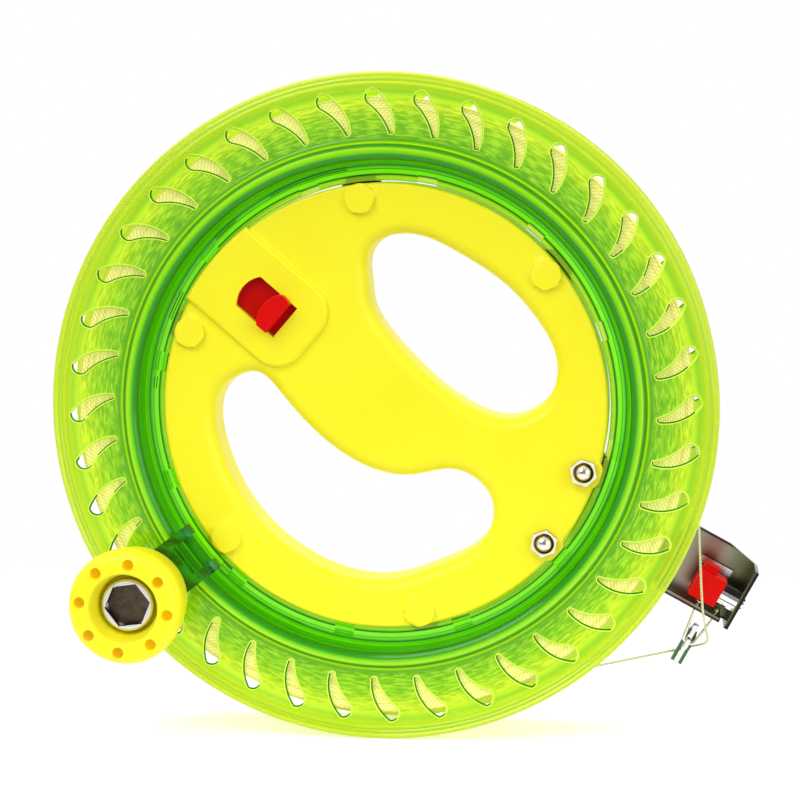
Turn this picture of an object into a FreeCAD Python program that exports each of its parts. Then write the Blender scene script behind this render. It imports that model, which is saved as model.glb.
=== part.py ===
import FreeCAD, Part
import math
import os
import re

import Sketcher
from FreeCAD import Vector

# Hand-held kite line winder.  The wheel turns about the Y axis, its front faces -Y, Z is up.
# A piece is placed in a polar frame: "along" is the distance from the axis, "depth" is Y,
# "across" is the tangent, counter-clockwise seen from the front.  Lengths are in millimetres.

SIZES = {
    # wheel
    "groove_depth": (22.8, "depth of the winding groove, hub to rim"),
    "rim_band": (4.5, "width of the thick band at the rim"),
    "rim_height": (18.5, "rim face from the mid-plane"),
    "rim_groove": (0.5, "depth and half width of the groove in the rim face"),
    "flange_wall": (2, "thickness of the flange"),
    "flange_rise": (2, "how far the flange leans outward"),
    "groove_half_width": (12.6, "half of the winding groove at the hub"),
    "bead_width": (5.8, "bead between the step and the winding hub"),
    "hub_wall": (2, "wall of the hub"),
    "bead_height": (17.3, "top of the bead beside the step"),
    "bead_wall": (2.5, "material under the top of the bead"),
    "step_gap": (1.6, "gap between the bearing track and the step"),
    "step_wall": (1.8, "thickness of that wall"),
    "lip_cover": (2.6, "how far the lip covers the bearings"),
    "lip_low": (2.9, "inner face of the lip beside the bearings"),
    "lip_wall": (2.5, "thickness of the lip"),
    "track_wall": (2.52, "wall of the bearing track"),
    "track_play": (0.08, "gap from bearing to track"),
    "slot_count": (40, "slots in each flange"),
    "slot_inset": (2.7, "inner end of a slot from the hub"),
    "slot_margin": (1, "outer end of a slot from the rim band"),
    "slot_head": (2.85, "radius of the head"),
    "slot_back": (15.6, "radius of the convex side"),
    "slot_front": (19, "radius of the concave side"),
    "slot_phase": (3.4, "degrees that the rear half is turned"),
    "notch_count": (12, "lock notches"),
    "notch_width": (6.6, "width of a notch"),
    "notch_depth": (4.8, "radial depth of a notch"),
    "wheel_screw_count": (8, "screws joining the halves"),
    "screw_inset": (2.95, "screws that join the halves, from the hub"),
    "wheel_screw_shank": (1.1, "their shank radius"),
    "wheel_screw_head": (2, "their head radius"),
    "wheel_boss": (2.8, "boss radius"),
    "screw_play": (0.05, "gap round a screw"),
    # wound line
    "pack_inset": (8, "wound line below the rim"),
    "pack_gap": (0.1, "gap from the wound line to the wheel"),
    "line_width": (0.8, "diameter of the line"),
    # crank
    "crank_angle": (217.8, "degrees, place of the crank"),
    "hinge_inset": (4, "hinge axis from the step"),
    "hinge_height": (21.4, "hinge axis from the mid-plane"),
    "barrel_radius": (3.7, "hinge barrels"),
    "knuckle_half": (5, "half length of the wheel's knuckle"),
    "knuckle_back": (2.1, "inner face of the knuckle post from the hinge axis"),
    "ear_wall": (3.6, "thickness of a crank ear"),
    "ear_gap": (0.3, "gap beside the knuckle"),
    "pin_radius": (1.5, "hinge pin"),
    "pin_play": (0.05, "gap round the pin"),
    "arm_height": (5, "thickness of the arm"),
    "arm_window": (5.6, "opening ahead of the hinge axis"),
    "arm_web": (6, "radial width of the web between the ears"),
    "knob_inset": (7.8, "knob axis from the rim"),
    "arm_boss": (10, "boss under the knob"),
    "knob_radius": (18.8, "rim of the knob at its face"),
    "knob_base": (17, "knob at its base"),
    "knob_rim": (6.5, "widest place of the knob, from its face"),
    "knob_height": (22, "length of the knob"),
    "knob_gap": (0.3, "gap under the knob and under the head"),
    "knob_rounding": (2.6, "rounded edges of the knob"),
    "knob_mouth": (11, "recess at the face"),
    "knob_floor": (9.3, "recess at its floor"),
    "knob_recess": (12.4, "depth of the recess"),
    "knob_hole_count": (8, "small holes in the knob"),
    "knob_hole": (1.85, "their radius"),
    "knob_hole_circle": (14.5, "radius of their circle"),
    "axle_radius": (5, "shank of the knob axle"),
    "axle_play": (0.06, "running gap round the axle"),
    "head_radius": (8.7, "head of the axle"),
    "head_height": (5.4, "height of the head"),
    "socket_flats": (12, "hex socket across its flats"),
    "socket_depth": (3.6, "depth of the socket"),
    # grip
    "plate_gap": (0.6, "gap from the grip to the lip of the wheel"),
    "plate_height": (11, "grip face from the mid-plane"),
    "shell_wall": (2.6, "wall of the grip"),
    "plate_rounding": (1.3, "rounded outer edge"),
    "hole_rounding": (4.5, "rounded edge of the finger holes"),
    "hole_shift_along": (1.2, "finger holes, offset in X"),
    "hole_shift_up": (1.3, "finger holes, offset in Z"),
    # bearings, 5 x 16 x 5
    "bearing_circle": (69.2, "radius of the circle of bearings"),
    "bearing_angle_1": (39.6, "degrees, place of each bearing"),
    "bearing_angle_2": (96.6, "degrees"),
    "bearing_angle_3": (159.4, "degrees"),
    "bearing_angle_4": (220, "degrees"),
    "bearing_angle_5": (280, "degrees"),
    "bearing_angle_6": (-17.2, "degrees, on a bolt of the line guide"),
    "bearing_radius": (8, "outside of a bearing"),
    "bearing_bore": (2.5, "bore radius"),
    "bearing_half": (2.5, "half width"),
    "bearing_ring": (1.6, "thickness of the inner ring"),
    "bearing_outer_wall": (1.9, "thickness of the outer ring"),
    "ball_circle": (5.1, "radius of the circle of balls"),
    "ball_radius": (1.36, "ball"),
    "ball_play": (0.08, "gap round a ball"),
    "ball_count": (9, "balls in a bearing"),
    "seal_wall": (0.4, "thickness of a seal"),
    "seal_gap": (0.12, "gap at the seal's edges"),
    "pocket_gap": (0.5, "gap from a bearing to its pocket"),
    "seat_radius": (4, "boss that the inner ring seats on"),
    "cap_radius": (5, "round cap over a boss"),
    "cap_height": (1.4, "height of a cap"),
    "axle_head": (4.2, "head radius of a bearing screw"),
    "axle_head_height": (2, "its height"),
    # grip screws
    "grip_screw_out": (16, "distance of a grip screw from the centre"),
    "grip_screw_angle": (150, "degrees, direction of the first one"),
    "grip_post": (3.6, "screw post radius"),
    # lock
    "lock_angle": (139.5, "degrees, place of the lock"),
    "pad_lead": (10.8, "pad beyond the window"),
    "pad_half": (15.5, "half width of the pad"),
    "pad_corner": (10, "corner radius of the pad"),
    "pad_height": (13, "top of the pad"),
    "pad_overhang": (1, "pad beyond the grip's edge"),
    "pad_under": (8, "underside of that overhang"),
    "pad_rounding": (1.5, "rounded edge of the pad"),
    "window_length": (18.4, "length of the window"),
    "window_inset": (12.8, "window from the edge of the grip"),
    "window_half": (6.3, "half width of the window"),
    "slider_half": (6, "half width of the slider"),
    "slider_lead": (3.3, "slider beyond the window, inner end"),
    "slider_tail": (1, "slider beyond the window, outer end"),
    "slider_wall": (2.4, "thickness of the slider"),
    "slider_play": (0.3, "gap round the slider"),
    "tab_lead": (2.5, "thumb tab from the inner end of the window"),
    "tab_wall": (4.3, "thickness of the thumb tab"),
    "tab_height": (17.2, "top of the thumb tab"),
    "tip_half": (2.95, "half width of the locking tip"),
    "tip_inset": (0.1, "locking tip inside the grip edge, unlocked"),
    "tip_low": (3.3, "underside of the tip"),
    "tip_wall": (1.7, "thickness of the tip"),
    "rail_wall": (1.6, "side rails of the slider"),
    "retainer_wall": (1.6, "retaining plate"),
    "retainer_half": (11, "half width of the retaining plate"),
    # line guide
    "guide_angle": (-28.4, "degrees, place of the guide"),
    "bolt_radius": (2.5, "M5 bolt"),
    "bolt_head": (4.25, "head radius"),
    "bolt_head_height": (3, "head height"),
    "nut_flats": (8, "dome nut across its flats"),
    "nut_height": (3.4, "hexagonal part"),
    "dome_radius": (3.5, "dome"),
    "nut_boss": (6.2, "raised seat of a nut"),
    "nut_boss_height": (0.6, "its height"),
    "strip_wall": (1.5, "bracket sheet"),
    "strip_half": (12, "half width of the strip"),
    "foot_half": (18.5, "half width of the bracket foot"),
    "foot_lead": (8.2, "foot of the bracket inside the bearing circle"),
    "foot_tail": (3.9, "where the strip leaves the foot"),
    "joggle_length": (7, "length of the joggle"),
    "strip_gap": (1.5, "gap behind the rim"),
    "ear_reach": (26, "outer face of the bracket ear from the rim"),
    "ear_front": (4, "front edge of the ear"),
    "taper_lead": (14.6, "where the strip starts to narrow"),
    "taper_drop": (2.6, "how much it narrows on its upper side"),
    "lip_front": (8.5, "front edge of the lower lip"),
    "lip_lead": (2, "lower lip, inner end"),
    "lip_tail": (3.2, "lower lip, outer end"),
    "bar_radius": (3.8, "guide bar"),
    "bar_depth": (8, "guide bar behind the mid-plane"),
    "bar_across": (-2.6, "guide bar beside the guide's centre line"),
    "bar_lead": (0.3, "inner end of the bar inside the gate"),
    "gate_lead": (8.5, "inner end of the gate"),
    "gate_length": (9.6, "length of the gate"),
    "gate_half": (4.7, "half width of the gate"),
    "gate_front": (1.8, "front face of the gate"),
    "gate_back": (13, "rear face of the gate"),
    "gate_play": (0.08, "gap round the bar"),
    "gate_tab": (2.4, "height of the gate's tab"),
    "bail_depth": (11, "bail behind the mid-plane"),
    "bail_wire": (0.6, "radius of the bail's wire"),
    "bail_bend": (1.6, "bend radius of the bail"),
    "bail_half": (3.4, "half width of the bail at the lip"),
    "bail_foot": (1.9, "half width of the bail at its foot"),
    "bail_play": (0.1, "gap round the bail in the lip"),
    "clip_reach": (17.3, "centre line of the clip"),
    "clip_pin_across": (-18, "clip pin"),
    "clip_pin_radius": (0.6, "clip pin"),
    "clip_end": (-31.6, "lower end of the jaws"),
    "clip_wall": (1.2, "jaw sheet"),
    "clip_layer": (0.2, "gap between the clip's layers"),
    "clip_half": (0.8, "half of the gap between the jaws"),
}
# What follows from the sizes above: each seat and clearance in the stack from the bearings
# out to the rim, and from the rim to the line guide.
TIES = {
    "lip_radius": "bearing_circle + bearing_radius - lip_cover",
    "step_radius": "bearing_circle + bearing_radius + track_play + track_wall + step_gap",
    "hub_radius": "step_radius + bead_width",
    "rim_radius": "hub_radius + groove_depth",
    "slot_tip_radius": "hub_radius + slot_inset",
    "slot_length": "rim_radius - rim_band - slot_margin - slot_tip_radius",
    "wheel_screw_circle": "hub_radius - screw_inset",
    "pack_radius": "rim_radius - pack_inset",
    "hinge_along": "step_radius - hinge_inset",
    "knuckle_inner": "hinge_along - knuckle_back",
    "knob_along": "rim_radius - knob_inset",
    "plate_radius": "lip_radius - plate_gap",
    "window_outer": "plate_radius - window_inset",
    "window_inner": "window_outer - window_length",
    "pad_inner": "window_inner - pad_lead",
    "slider_inner": "window_inner - slider_lead",
    "slider_outer": "window_outer + slider_tail",
    "tab_inner": "window_inner + tab_lead",
    "tip_end": "plate_radius - tip_inset",
    "foot_inner": "bearing_circle - foot_lead",
    "foot_outer": "bearing_circle + foot_tail",
    "ear_along": "rim_radius + ear_reach",
    "taper_start": "rim_radius + taper_lead",
    "lip_start": "rim_radius + lip_lead",
    "lip_end": "ear_along - lip_tail",
    "gate_start": "rim_radius + gate_lead",
    "bar_start": "gate_start + bar_lead",
    "clip_along": "rim_radius + clip_reach",
}

DOC = FreeCAD.newDocument("KiteLineWinder")
SHEET = DOC.addObject("Spreadsheet::Sheet", "Sizes")
NODES = []
ALIASES = re.compile(r"\b(%s)\b" % "|".join(sorted([*SIZES, *TIES], key=len, reverse=True)))

Y_AXIS = Vector(0, 1, 0)
Z_TO_DEPTH = "create(<<rotation>>; create(<<vector>>; 1; 0; 0); -90)"
Z_TO_ALONG = "create(<<rotation>>; create(<<vector>>; 0; 1; 0); 90)"
TURN_OVER = "create(<<rotation>>; create(<<vector>>; 0; 0; 1); 180)"
ROOT_THREE = "1.7320508"


def fill_sheet():
    for row, (alias, (value, meaning)) in enumerate(SIZES.items(), start=1):
        SHEET.set("A%d" % row, alias)
        SHEET.set("B%d" % row, str(value))
        SHEET.setAlias("B%d" % row, alias)
        SHEET.set("C%d" % row, meaning)
    for row, (alias, text) in enumerate(TIES.items(), start=len(SIZES) + 1):
        SHEET.set("A%d" % row, alias)
        SHEET.set("B%d" % row, "=" + text)
        SHEET.setAlias("B%d" % row, alias)
    DOC.recompute()


def formula(text):
    return ALIASES.sub(r"Sizes.\1", str(text))


def size(text):
    return float(SHEET.evalExpression(formula(text)))


def bind(item, **formulas):
    for name, text in formulas.items():
        item.setExpression(name, formula(text))
    return item


def node(item, label):
    item.Label = label
    NODES.append(item)
    return item


def spot(along, depth, across="0", angle="0", turn=None):
    """Placement formula in the polar frame at an angle, with an extra turn of the piece."""
    cosine = "cos((%s) * 1 deg)" % angle
    sine = "sin((%s) * 1 deg)" % angle
    right = "(%s) * %s - (%s) * %s" % (along, cosine, across, sine)
    up = "(%s) * %s + (%s) * %s" % (along, sine, across, cosine)
    turning = "create(<<rotation>>; create(<<vector>>; 0; -1; 0); %s)" % angle
    if turn:
        turning = "%s * %s" % (turning, turn)
    place = "create(<<vector>>; %s; %s; %s)" % (right, depth, up)
    return "create(<<placement>>; %s; %s)" % (place, turning)


def block(along, depth, across, angle="0"):
    """Box between (low, high) pairs in the polar frame."""
    item = DOC.addObject("Part::Box", "Block")
    bind(item, Length="(%s) - (%s)" % (along[1], along[0]))
    bind(item, Width="(%s) - (%s)" % (depth[1], depth[0]))
    bind(item, Height="(%s) - (%s)" % (across[1], across[0]))
    return bind(item, Placement=spot(along[0], depth[0], across[0], angle))


def rod(radius, depth, along="0", across="0", angle="0"):
    """Cylinder along the depth axis between two depths."""
    item = DOC.addObject("Part::Cylinder", "Rod")
    bind(item, Radius=radius, Height="(%s) - (%s)" % (depth[1], depth[0]))
    return bind(item, Placement=spot(along, depth[0], across, angle, Z_TO_DEPTH))


def cross_rod(radius, across, along, depth, angle="0"):
    """Cylinder along the tangent between two distances across."""
    item = DOC.addObject("Part::Cylinder", "CrossRod")
    bind(item, Radius=radius, Height="(%s) - (%s)" % (across[1], across[0]))
    return bind(item, Placement=spot(along, depth, across[0], angle))


def outward_rod(radius, along, depth, across="0", angle="0"):
    """Cylinder pointing away from the wheel axis."""
    item = DOC.addObject("Part::Cylinder", "OutwardRod")
    bind(item, Radius=radius, Height="(%s) - (%s)" % (along[1], along[0]))
    return bind(item, Placement=spot(along[0], depth, across, angle, Z_TO_ALONG))


def hexagon(flats, depth, along="0", angle="0"):
    item = DOC.addObject("Part::Prism", "Hexagon")
    item.Polygon = 6
    bind(item, Circumradius="(%s) / %s" % (flats, ROOT_THREE))
    bind(item, Height="(%s) - (%s)" % (depth[1], depth[0]))
    return bind(item, Placement=spot(along, depth[0], "0", angle, Z_TO_DEPTH))


def join(*items):
    item = DOC.addObject("Part::MultiFuse", "Joined")
    item.Shapes = list(items)
    item.Refine = True
    return item


def cut(base, *tools):
    item = DOC.addObject("Part::Cut", "Opened")
    item.Base = base
    item.Tool = tools[0] if len(tools) == 1 else group(*tools)
    return item


def group(*items):
    item = DOC.addObject("Part::Compound", "Group")
    item.Links = list(items)
    return item


def closed_sketch(body, plane, corners):
    """Closed outline; a corner is (x, y) or (x, y, radius of the arc that leaves it)."""
    planes = {feature.Role: feature for feature in body.Origin.OriginFeatures}
    sketch = body.newObject("Sketcher::SketchObject", "Outline")
    sketch.AttachmentSupport = [(planes[plane], "")]
    sketch.MapMode = "FlatFace"
    points = [Vector(size(corner[0]), size(corner[1]), 0) for corner in corners]
    count = len(points)
    ends = []
    for index, corner in enumerate(corners):
        start = points[index]
        end = points[(index + 1) % count]
        if len(corner) == 3:
            edge, forward = arc_between(start, end, size(corner[2]))
        else:
            edge, forward = Part.LineSegment(start, end), True
        sketch.addGeometry(edge, False)
        ends.append((1, 2) if forward else (2, 1))
    for index in range(count):
        following = (index + 1) % count
        joint = (index, ends[index][1], following, ends[following][0])
        sketch.addConstraint(Sketcher.Constraint("Coincident", *joint))
    for index, corner in enumerate(corners):
        for kind, text in (("DistanceX", corner[0]), ("DistanceY", corner[1])):
            place = (-1, 1, index, ends[index][0], size(text))
            number = sketch.addConstraint(Sketcher.Constraint(kind, *place))
            sketch.setExpression("Constraints[%d]" % number, formula(text))
        if len(corner) == 3:
            radius = Sketcher.Constraint("Radius", index, abs(size(corner[2])))
            number = sketch.addConstraint(radius)
            sketch.setExpression("Constraints[%d]" % number, "abs(%s)" % formula(corner[2]))
    return sketch


def arc_between(start, end, radius):
    """Arc that bulges to the right of the way for a positive radius, to the left otherwise."""
    chord = end - start
    side = Vector(chord.y, -chord.x, 0).normalize() * math.copysign(1, radius)
    reach = math.sqrt(radius * radius - chord.Length * chord.Length / 4)
    centre = (start + end) * 0.5 - side * reach
    first, last = (start, end) if radius > 0 else (end, start)
    opening = math.atan2(first.y - centre.y, first.x - centre.x)
    closing = math.atan2(last.y - centre.y, last.x - centre.x)
    if closing < opening:
        closing += 2 * math.pi
    circle = Part.Circle(centre, Vector(0, 0, 1), abs(radius))
    return Part.ArcOfCircle(circle, opening, closing), radius > 0


def turned(corners):
    """Body turned about its own Y axis from corners (radius, depth)."""
    body = DOC.addObject("PartDesign::Body", "Turned")
    sketch = closed_sketch(body, "XY_Plane", corners)
    turning = body.newObject("PartDesign::Revolution", "Turning")
    turning.Profile = sketch
    turning.ReferenceAxis = (sketch, ["V_Axis"])
    turning.Angle = 360
    return body


def padded(plane, corners, thickness, reverse=False):
    """Body with one pad; on XZ_Plane the outline is (X, Z) and a reversed pad grows to +Y."""
    body = DOC.addObject("PartDesign::Body", "Padded")
    pad = body.newObject("PartDesign::Pad", "Pad")
    pad.Profile = closed_sketch(body, plane, corners)
    pad.Reversed = reverse
    bind(pad, Length=thickness)
    return body


def repeated_pocket(body, corners, count):
    """Pocket through the body, repeated round its Y axis."""
    planes = {feature.Role: feature for feature in body.Origin.OriginFeatures}
    pocket = body.newObject("PartDesign::Pocket", "Pocket")
    pocket.Profile = closed_sketch(body, "XZ_Plane", corners)
    pocket.Type = "ThroughAll"
    pocket.Midplane = True
    DOC.recompute()
    pattern = body.newObject("PartDesign::PolarPattern", "Pattern")
    pattern.Originals = [pocket]
    pattern.Axis = (planes["Y_Axis"], [""])
    pattern.Angle = 360
    bind(pattern, Occurrences=count)
    body.Tip = pattern
    return body


# ---------------------------------------------------------------- wheel

FLANGE_BASE = "groove_half_width + flange_wall"
FLANGE_RIM = "groove_half_width + flange_wall + flange_rise"
BAND_INNER = "rim_radius - rim_band"
TRACK = "bearing_circle + bearing_radius + track_play"


def wheel_profile():
    """Section of one half of the wheel as (radius, distance from the mid-plane)."""
    lip_top = "lip_low + lip_wall"
    bead_edge = "hub_radius - 0.4"
    groove = "rim_radius - rim_band / 2"
    return [
        ("lip_radius", "lip_low"),
        (TRACK, "lip_low"),
        (TRACK, "0"),
        (TRACK + " + track_wall", "0"),
        (TRACK + " + track_wall", "lip_low"),
        ("step_radius + step_wall", "lip_low"),
        ("step_radius + step_wall", "bead_height - bead_wall"),
        ("hub_radius - hub_wall", "bead_height - bead_wall"),
        ("hub_radius - hub_wall", "0"),
        ("hub_radius", "0"),
        ("hub_radius", "groove_half_width"),
        (BAND_INNER, "groove_half_width + flange_rise"),
        ("rim_radius", "rim_height - 3.2"),
        ("rim_radius", "rim_height - 0.8", "1"),
        ("rim_radius - 0.8", "rim_height"),
        (groove + " + rim_groove", "rim_height"),
        (groove, "rim_height - rim_groove"),
        (groove + " - rim_groove", "rim_height"),
        (BAND_INNER + " + 0.4", "rim_height"),
        (BAND_INNER, "rim_height - 0.4"),
        (BAND_INNER, FLANGE_RIM),
        (bead_edge, FLANGE_BASE),
        (bead_edge, "bead_height - 1.6", "1.7"),
        ("hub_radius - 2", "bead_height"),
        ("step_radius + 1.6", "bead_height", "1.7"),
        ("step_radius", "bead_height - 1.6"),
        ("step_radius", lip_top),
        ("lip_radius", lip_top),
    ]


def slot_outline():
    """Comma-shaped slot: tangent to the right, radius upward."""
    head = "slot_tip_radius + slot_length"
    return [
        ("-3.8", "slot_tip_radius + 0.7", "-slot_back"),
        ("2.55", head, "-slot_head"),
        ("4.7", head + " - 5", "slot_front"),
        ("-2.2", "slot_tip_radius", "-1.2"),
    ]


def around(count, first="0"):
    """Angle formulas of equally spaced copies."""
    return ["(%s) + %d * 360 / %s" % (first, index, count) for index in range(int(size(count)))]


def mirrored(angle):
    return "180 - (%s)" % angle


def wheel_half(boss_angles):
    """Half a wheel with its outer face towards +Y and bosses for the screws."""
    shell = repeated_pocket(turned(wheel_profile()), slot_outline(), "slot_count")
    span = ("0", "bead_height - 1")
    bosses = [rod("wheel_boss", span, "wheel_screw_circle", "0", angle) for angle in boss_angles]
    return [shell] + bosses


def spool_front_half():
    bosses = [mirrored(angle) for angle in around("wheel_screw_count")]
    place = mirrored("crank_angle")
    post = block(
        ("knuckle_inner", "step_radius + 0.2"),
        ("lip_low + 1", "hinge_height"),
        ("-knuckle_half", "knuckle_half"),
        place,
    )
    half = ("-knuckle_half", "knuckle_half")
    barrel = cross_rod("barrel_radius", half, "hinge_along", "hinge_height", place)
    solid = join(*wheel_half(bosses), post, barrel)
    pilot = "wheel_screw_shank + screw_play"
    holes = [rod(pilot, ("-1", PILOT_END), "wheel_screw_circle", "0", a) for a in bosses]
    beyond = ("-knuckle_half - 1", "knuckle_half + 1")
    bore = cross_rod("pin_radius + pin_play", beyond, "hinge_along", "hinge_height", place)
    notches = [
        block(
            ("lip_radius - 1", "lip_radius + notch_depth"),
            ("lip_low", "lip_low + lip_wall + 1"),
            ("-notch_width / 2", "notch_width / 2"),
            mirrored(angle),
        )
        for angle in around("notch_count", "lock_angle")
    ]
    half = cut(solid, *holes, bore, *notches)
    bind(half, Placement=spot("0", "0", "0", "0", TURN_OVER))
    node(half, "spool_front_half")


PILOT_END = "bead_height - bead_wall - 3"
WHEEL_HEAD_SEAT = "bead_height - 4.3"


def spool_rear_half():
    bosses = ["(%s) - slot_phase" % angle for angle in around("wheel_screw_count")]
    solid = join(*wheel_half(bosses))
    shank = "wheel_screw_shank + screw_play"
    past = "bead_height + 1"
    holes = [rod(shank, ("-1", past), "wheel_screw_circle", "0", a) for a in bosses]
    seat = (WHEEL_HEAD_SEAT, past)
    recess = "wheel_screw_head + 0.2"
    seats = [rod(recess, seat, "wheel_screw_circle", "0", a) for a in bosses]
    half = cut(solid, *holes, *seats)
    bind(half, Placement=spot("0", "0", "0", "slot_phase"))
    node(half, "spool_rear_half")


def spool_screws():
    screws = []
    for angle in around("wheel_screw_count"):
        shank_span = ("1.5 - (%s)" % PILOT_END, WHEEL_HEAD_SEAT)
        head_span = (WHEEL_HEAD_SEAT, WHEEL_HEAD_SEAT + " + 1.6")
        shank = rod("wheel_screw_shank", shank_span, "wheel_screw_circle", "0", angle)
        head = rod("wheel_screw_head", head_span, "wheel_screw_circle", "0", angle)
        screws.append(join(shank, head))
    node(group(*screws), "spool_screws")


def line_pack():
    inner = "hub_radius + pack_gap"
    lean = "flange_rise / (rim_radius - rim_band - hub_radius)"
    low = "groove_half_width - pack_gap"
    high = "groove_half_width + (pack_radius - hub_radius) * %s - pack_gap" % lean
    corners = [
        (inner, "-(%s)" % low),
        ("pack_radius", "-(%s)" % high),
        ("pack_radius", high),
        (inner, low),
    ]
    node(turned(corners), "line_pack")


# ---------------------------------------------------------------- crank

ARM_SPAN = ("-hinge_height - arm_height / 2", "-hinge_height + arm_height / 2")
EAR_INNER = "knuckle_half + ear_gap"
EAR_OUTER = "knuckle_half + ear_gap + ear_wall"
WEB_START = "hinge_along + arm_window"


def crank_arm():
    pieces = []
    for across in ((EAR_INNER, EAR_OUTER), ("-(%s)" % EAR_OUTER, "-(%s)" % EAR_INNER)):
        place = ("hinge_along", "-hinge_height", "crank_angle")
        pieces.append(cross_rod("barrel_radius", across, *place))
        ear_reach = ("hinge_along", WEB_START + " + arm_web")
        pieces.append(block(ear_reach, ARM_SPAN, across, "crank_angle"))
    whole = ("-(%s)" % EAR_OUTER, EAR_OUTER)
    pieces.append(block((WEB_START, "knob_along"), ARM_SPAN, whole, "crank_angle"))
    pieces.append(rod("arm_boss", ARM_SPAN, "knob_along", "0", "crank_angle"))
    past = ("-(%s) - 1" % EAR_OUTER, EAR_OUTER + " + 1")
    bore = cross_rod("pin_radius + pin_play", past, "hinge_along", "-hinge_height", "crank_angle")
    eye_span = (ARM_SPAN[0] + " - 1", ARM_SPAN[1] + " + 1")
    eye = rod("axle_radius + axle_play", eye_span, "knob_along", "0", "crank_angle")
    node(cut(join(*pieces), bore, eye), "crank_arm")


def crank_hinge_pin():
    whole = ("-(%s)" % EAR_OUTER, EAR_OUTER)
    place = ("hinge_along", "-hinge_height", "crank_angle")
    node(cross_rod("pin_radius", whole, *place), "crank_hinge_pin")


def crank_knob():
    bore = "axle_radius + axle_play"
    floor = "knob_height - knob_recess"
    profile = [
        (bore, "0"),
        ("knob_base - 0.5", "0", "0.5"),
        ("knob_base", "0.5"),
        ("knob_radius", "knob_height - knob_rim"),
        ("knob_radius", "knob_height - knob_rounding", "knob_rounding"),
        ("knob_radius - knob_rounding", "knob_height"),
        ("knob_mouth + 0.8", "knob_height", "0.8"),
        ("knob_mouth", "knob_height - 0.8"),
        ("knob_floor", floor),
        (bore, floor),
    ]
    span = ("-1", "knob_height + 1")
    holes = [rod("knob_hole", span, "knob_hole_circle", "0", a) for a in around("knob_hole_count")]
    knob = cut(turned(profile), *holes)
    foot = ARM_SPAN[0] + " - knob_gap"
    bind(knob, Placement=spot("knob_along", foot, "0", "crank_angle", TURN_OVER))
    node(knob, "crank_knob")


def knob_axle():
    shank = "arm_height + 2 * knob_gap + knob_height - knob_recess"
    top = shank + " + head_height"
    profile = [
        ("0", "0"),
        ("axle_radius", "0"),
        ("axle_radius", shank),
        ("head_radius", shank),
        ("head_radius", top + " - 0.6"),
        ("head_radius - 0.6", top),
        ("0", top),
    ]
    socket = hexagon("socket_flats", (top + " - socket_depth", top + " + 1"))
    axle = cut(turned(profile), socket)
    bind(axle, Placement=spot("knob_along", ARM_SPAN[1], "0", "crank_angle", TURN_OVER))
    node(axle, "knob_axle")


# ---------------------------------------------------------------- grip

# Outlines of the finger holes, (X, Z) from the middle of the holes' own frame.
THUMB_HOLE = [
    (-6.9, 43), (-2.6, 53.9), (4.8, 55.9), (23.5, 49.5),
    (40, 38.2), (49.6, 27.2), (55.6, 14.4), (53.2, 2.3),
    (40.6, -4.7), (26.5, -0.6), (7, 15.2), (-5.7, 33.2),
]
FINGER_HOLE = [
    (-47.4, 9.5), (-56.4, 3), (-55, -20.2), (-42.9, -40.6),
    (-20.7, -56.2), (-1.5, -59.6), (18.5, -53.6), (33, -43.5),
    (34.4, -32.4), (22.4, -22.2), (8.5, -24.1), (-10.9, -19.8),
    (-22.6, -11.7), (-36.8, 3.6),
]


def hole_curve(points, growth):
    """Smooth closed outline through the points, moved outward by growth."""
    shift = Vector(size("hole_shift_along"), 0, size("hole_shift_up"))
    curve = Part.BSplineCurve()
    curve.interpolate(Points=[Vector(x, 0, z) + shift for x, z in points], PeriodicFlag=True)
    if not growth:
        return curve
    count = 3 * len(points)
    first, last = curve.FirstParameter, curve.LastParameter
    stations = [first + (last - first) * index / count for index in range(count)]
    ways = [Vector(*curve.tangent(station)[0]).cross(Y_AXIS).normalize() for station in stations]
    middle = sum((curve.value(station) for station in stations), Vector()) * (1 / count)
    outward = sum(way.dot(curve.value(u) - middle) for way, u in zip(ways, stations))
    step = math.copysign(growth, outward)
    wider = Part.BSplineCurve()
    moved = [curve.value(station) + way * step for station, way in zip(stations, ways)]
    wider.interpolate(Points=moved, PeriodicFlag=True)
    return wider


def hole_shape(points, growth, span):
    """Prism of a finger hole between two depths, its outline moved outward by growth."""
    face = Part.Face(Part.Wire(hole_curve(points, growth).toShape()))
    face.translate(Vector(0, span[0], 0))
    return face.extrude(Vector(0, span[1] - span[0], 0))


def depths(side, low, high):
    """Depth pair of two distances from the mid-plane, on the front (-1) or the rear (1)."""
    return tuple(sorted((side * low, side * high)))


def disc(radius, depth, along=0, angle=0, across=0):
    solid = Part.makeCylinder(radius, depth[1] - depth[0], Vector(along, depth[0], across), Y_AXIS)
    return swung(solid, angle)


def brick(along, depth, across, angle=0):
    """Box in the polar frame between (low, high) pairs of numbers."""
    sizes = [pair[1] - pair[0] for pair in (along, depth, across)]
    return swung(Part.makeBox(*sizes, Vector(along[0], depth[0], across[0])), angle)


def swung(solid, angle):
    solid.rotate(Vector(0, 0, 0), Vector(0, -1, 0), angle)
    return solid


def feature(shape, label):
    item = DOC.addObject("Part::Feature", "Shell")
    item.Shape = shape.Solids[0]
    return node(item, label)


BEARING_ANGLES = ["bearing_angle_%d" % number for number in range(1, 7)]


def bearing_angles():
    return [size(name) for name in BEARING_ANGLES]


def bolt_angles():
    """The first bolt is the axle of the last bearing; the second mirrors it about the guide."""
    first = bearing_angles()[-1]
    return [first, 2 * size("guide_angle") - first]


def grip_screw_angles():
    return [size("grip_screw_angle"), size("grip_screw_angle") + 180]


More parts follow.
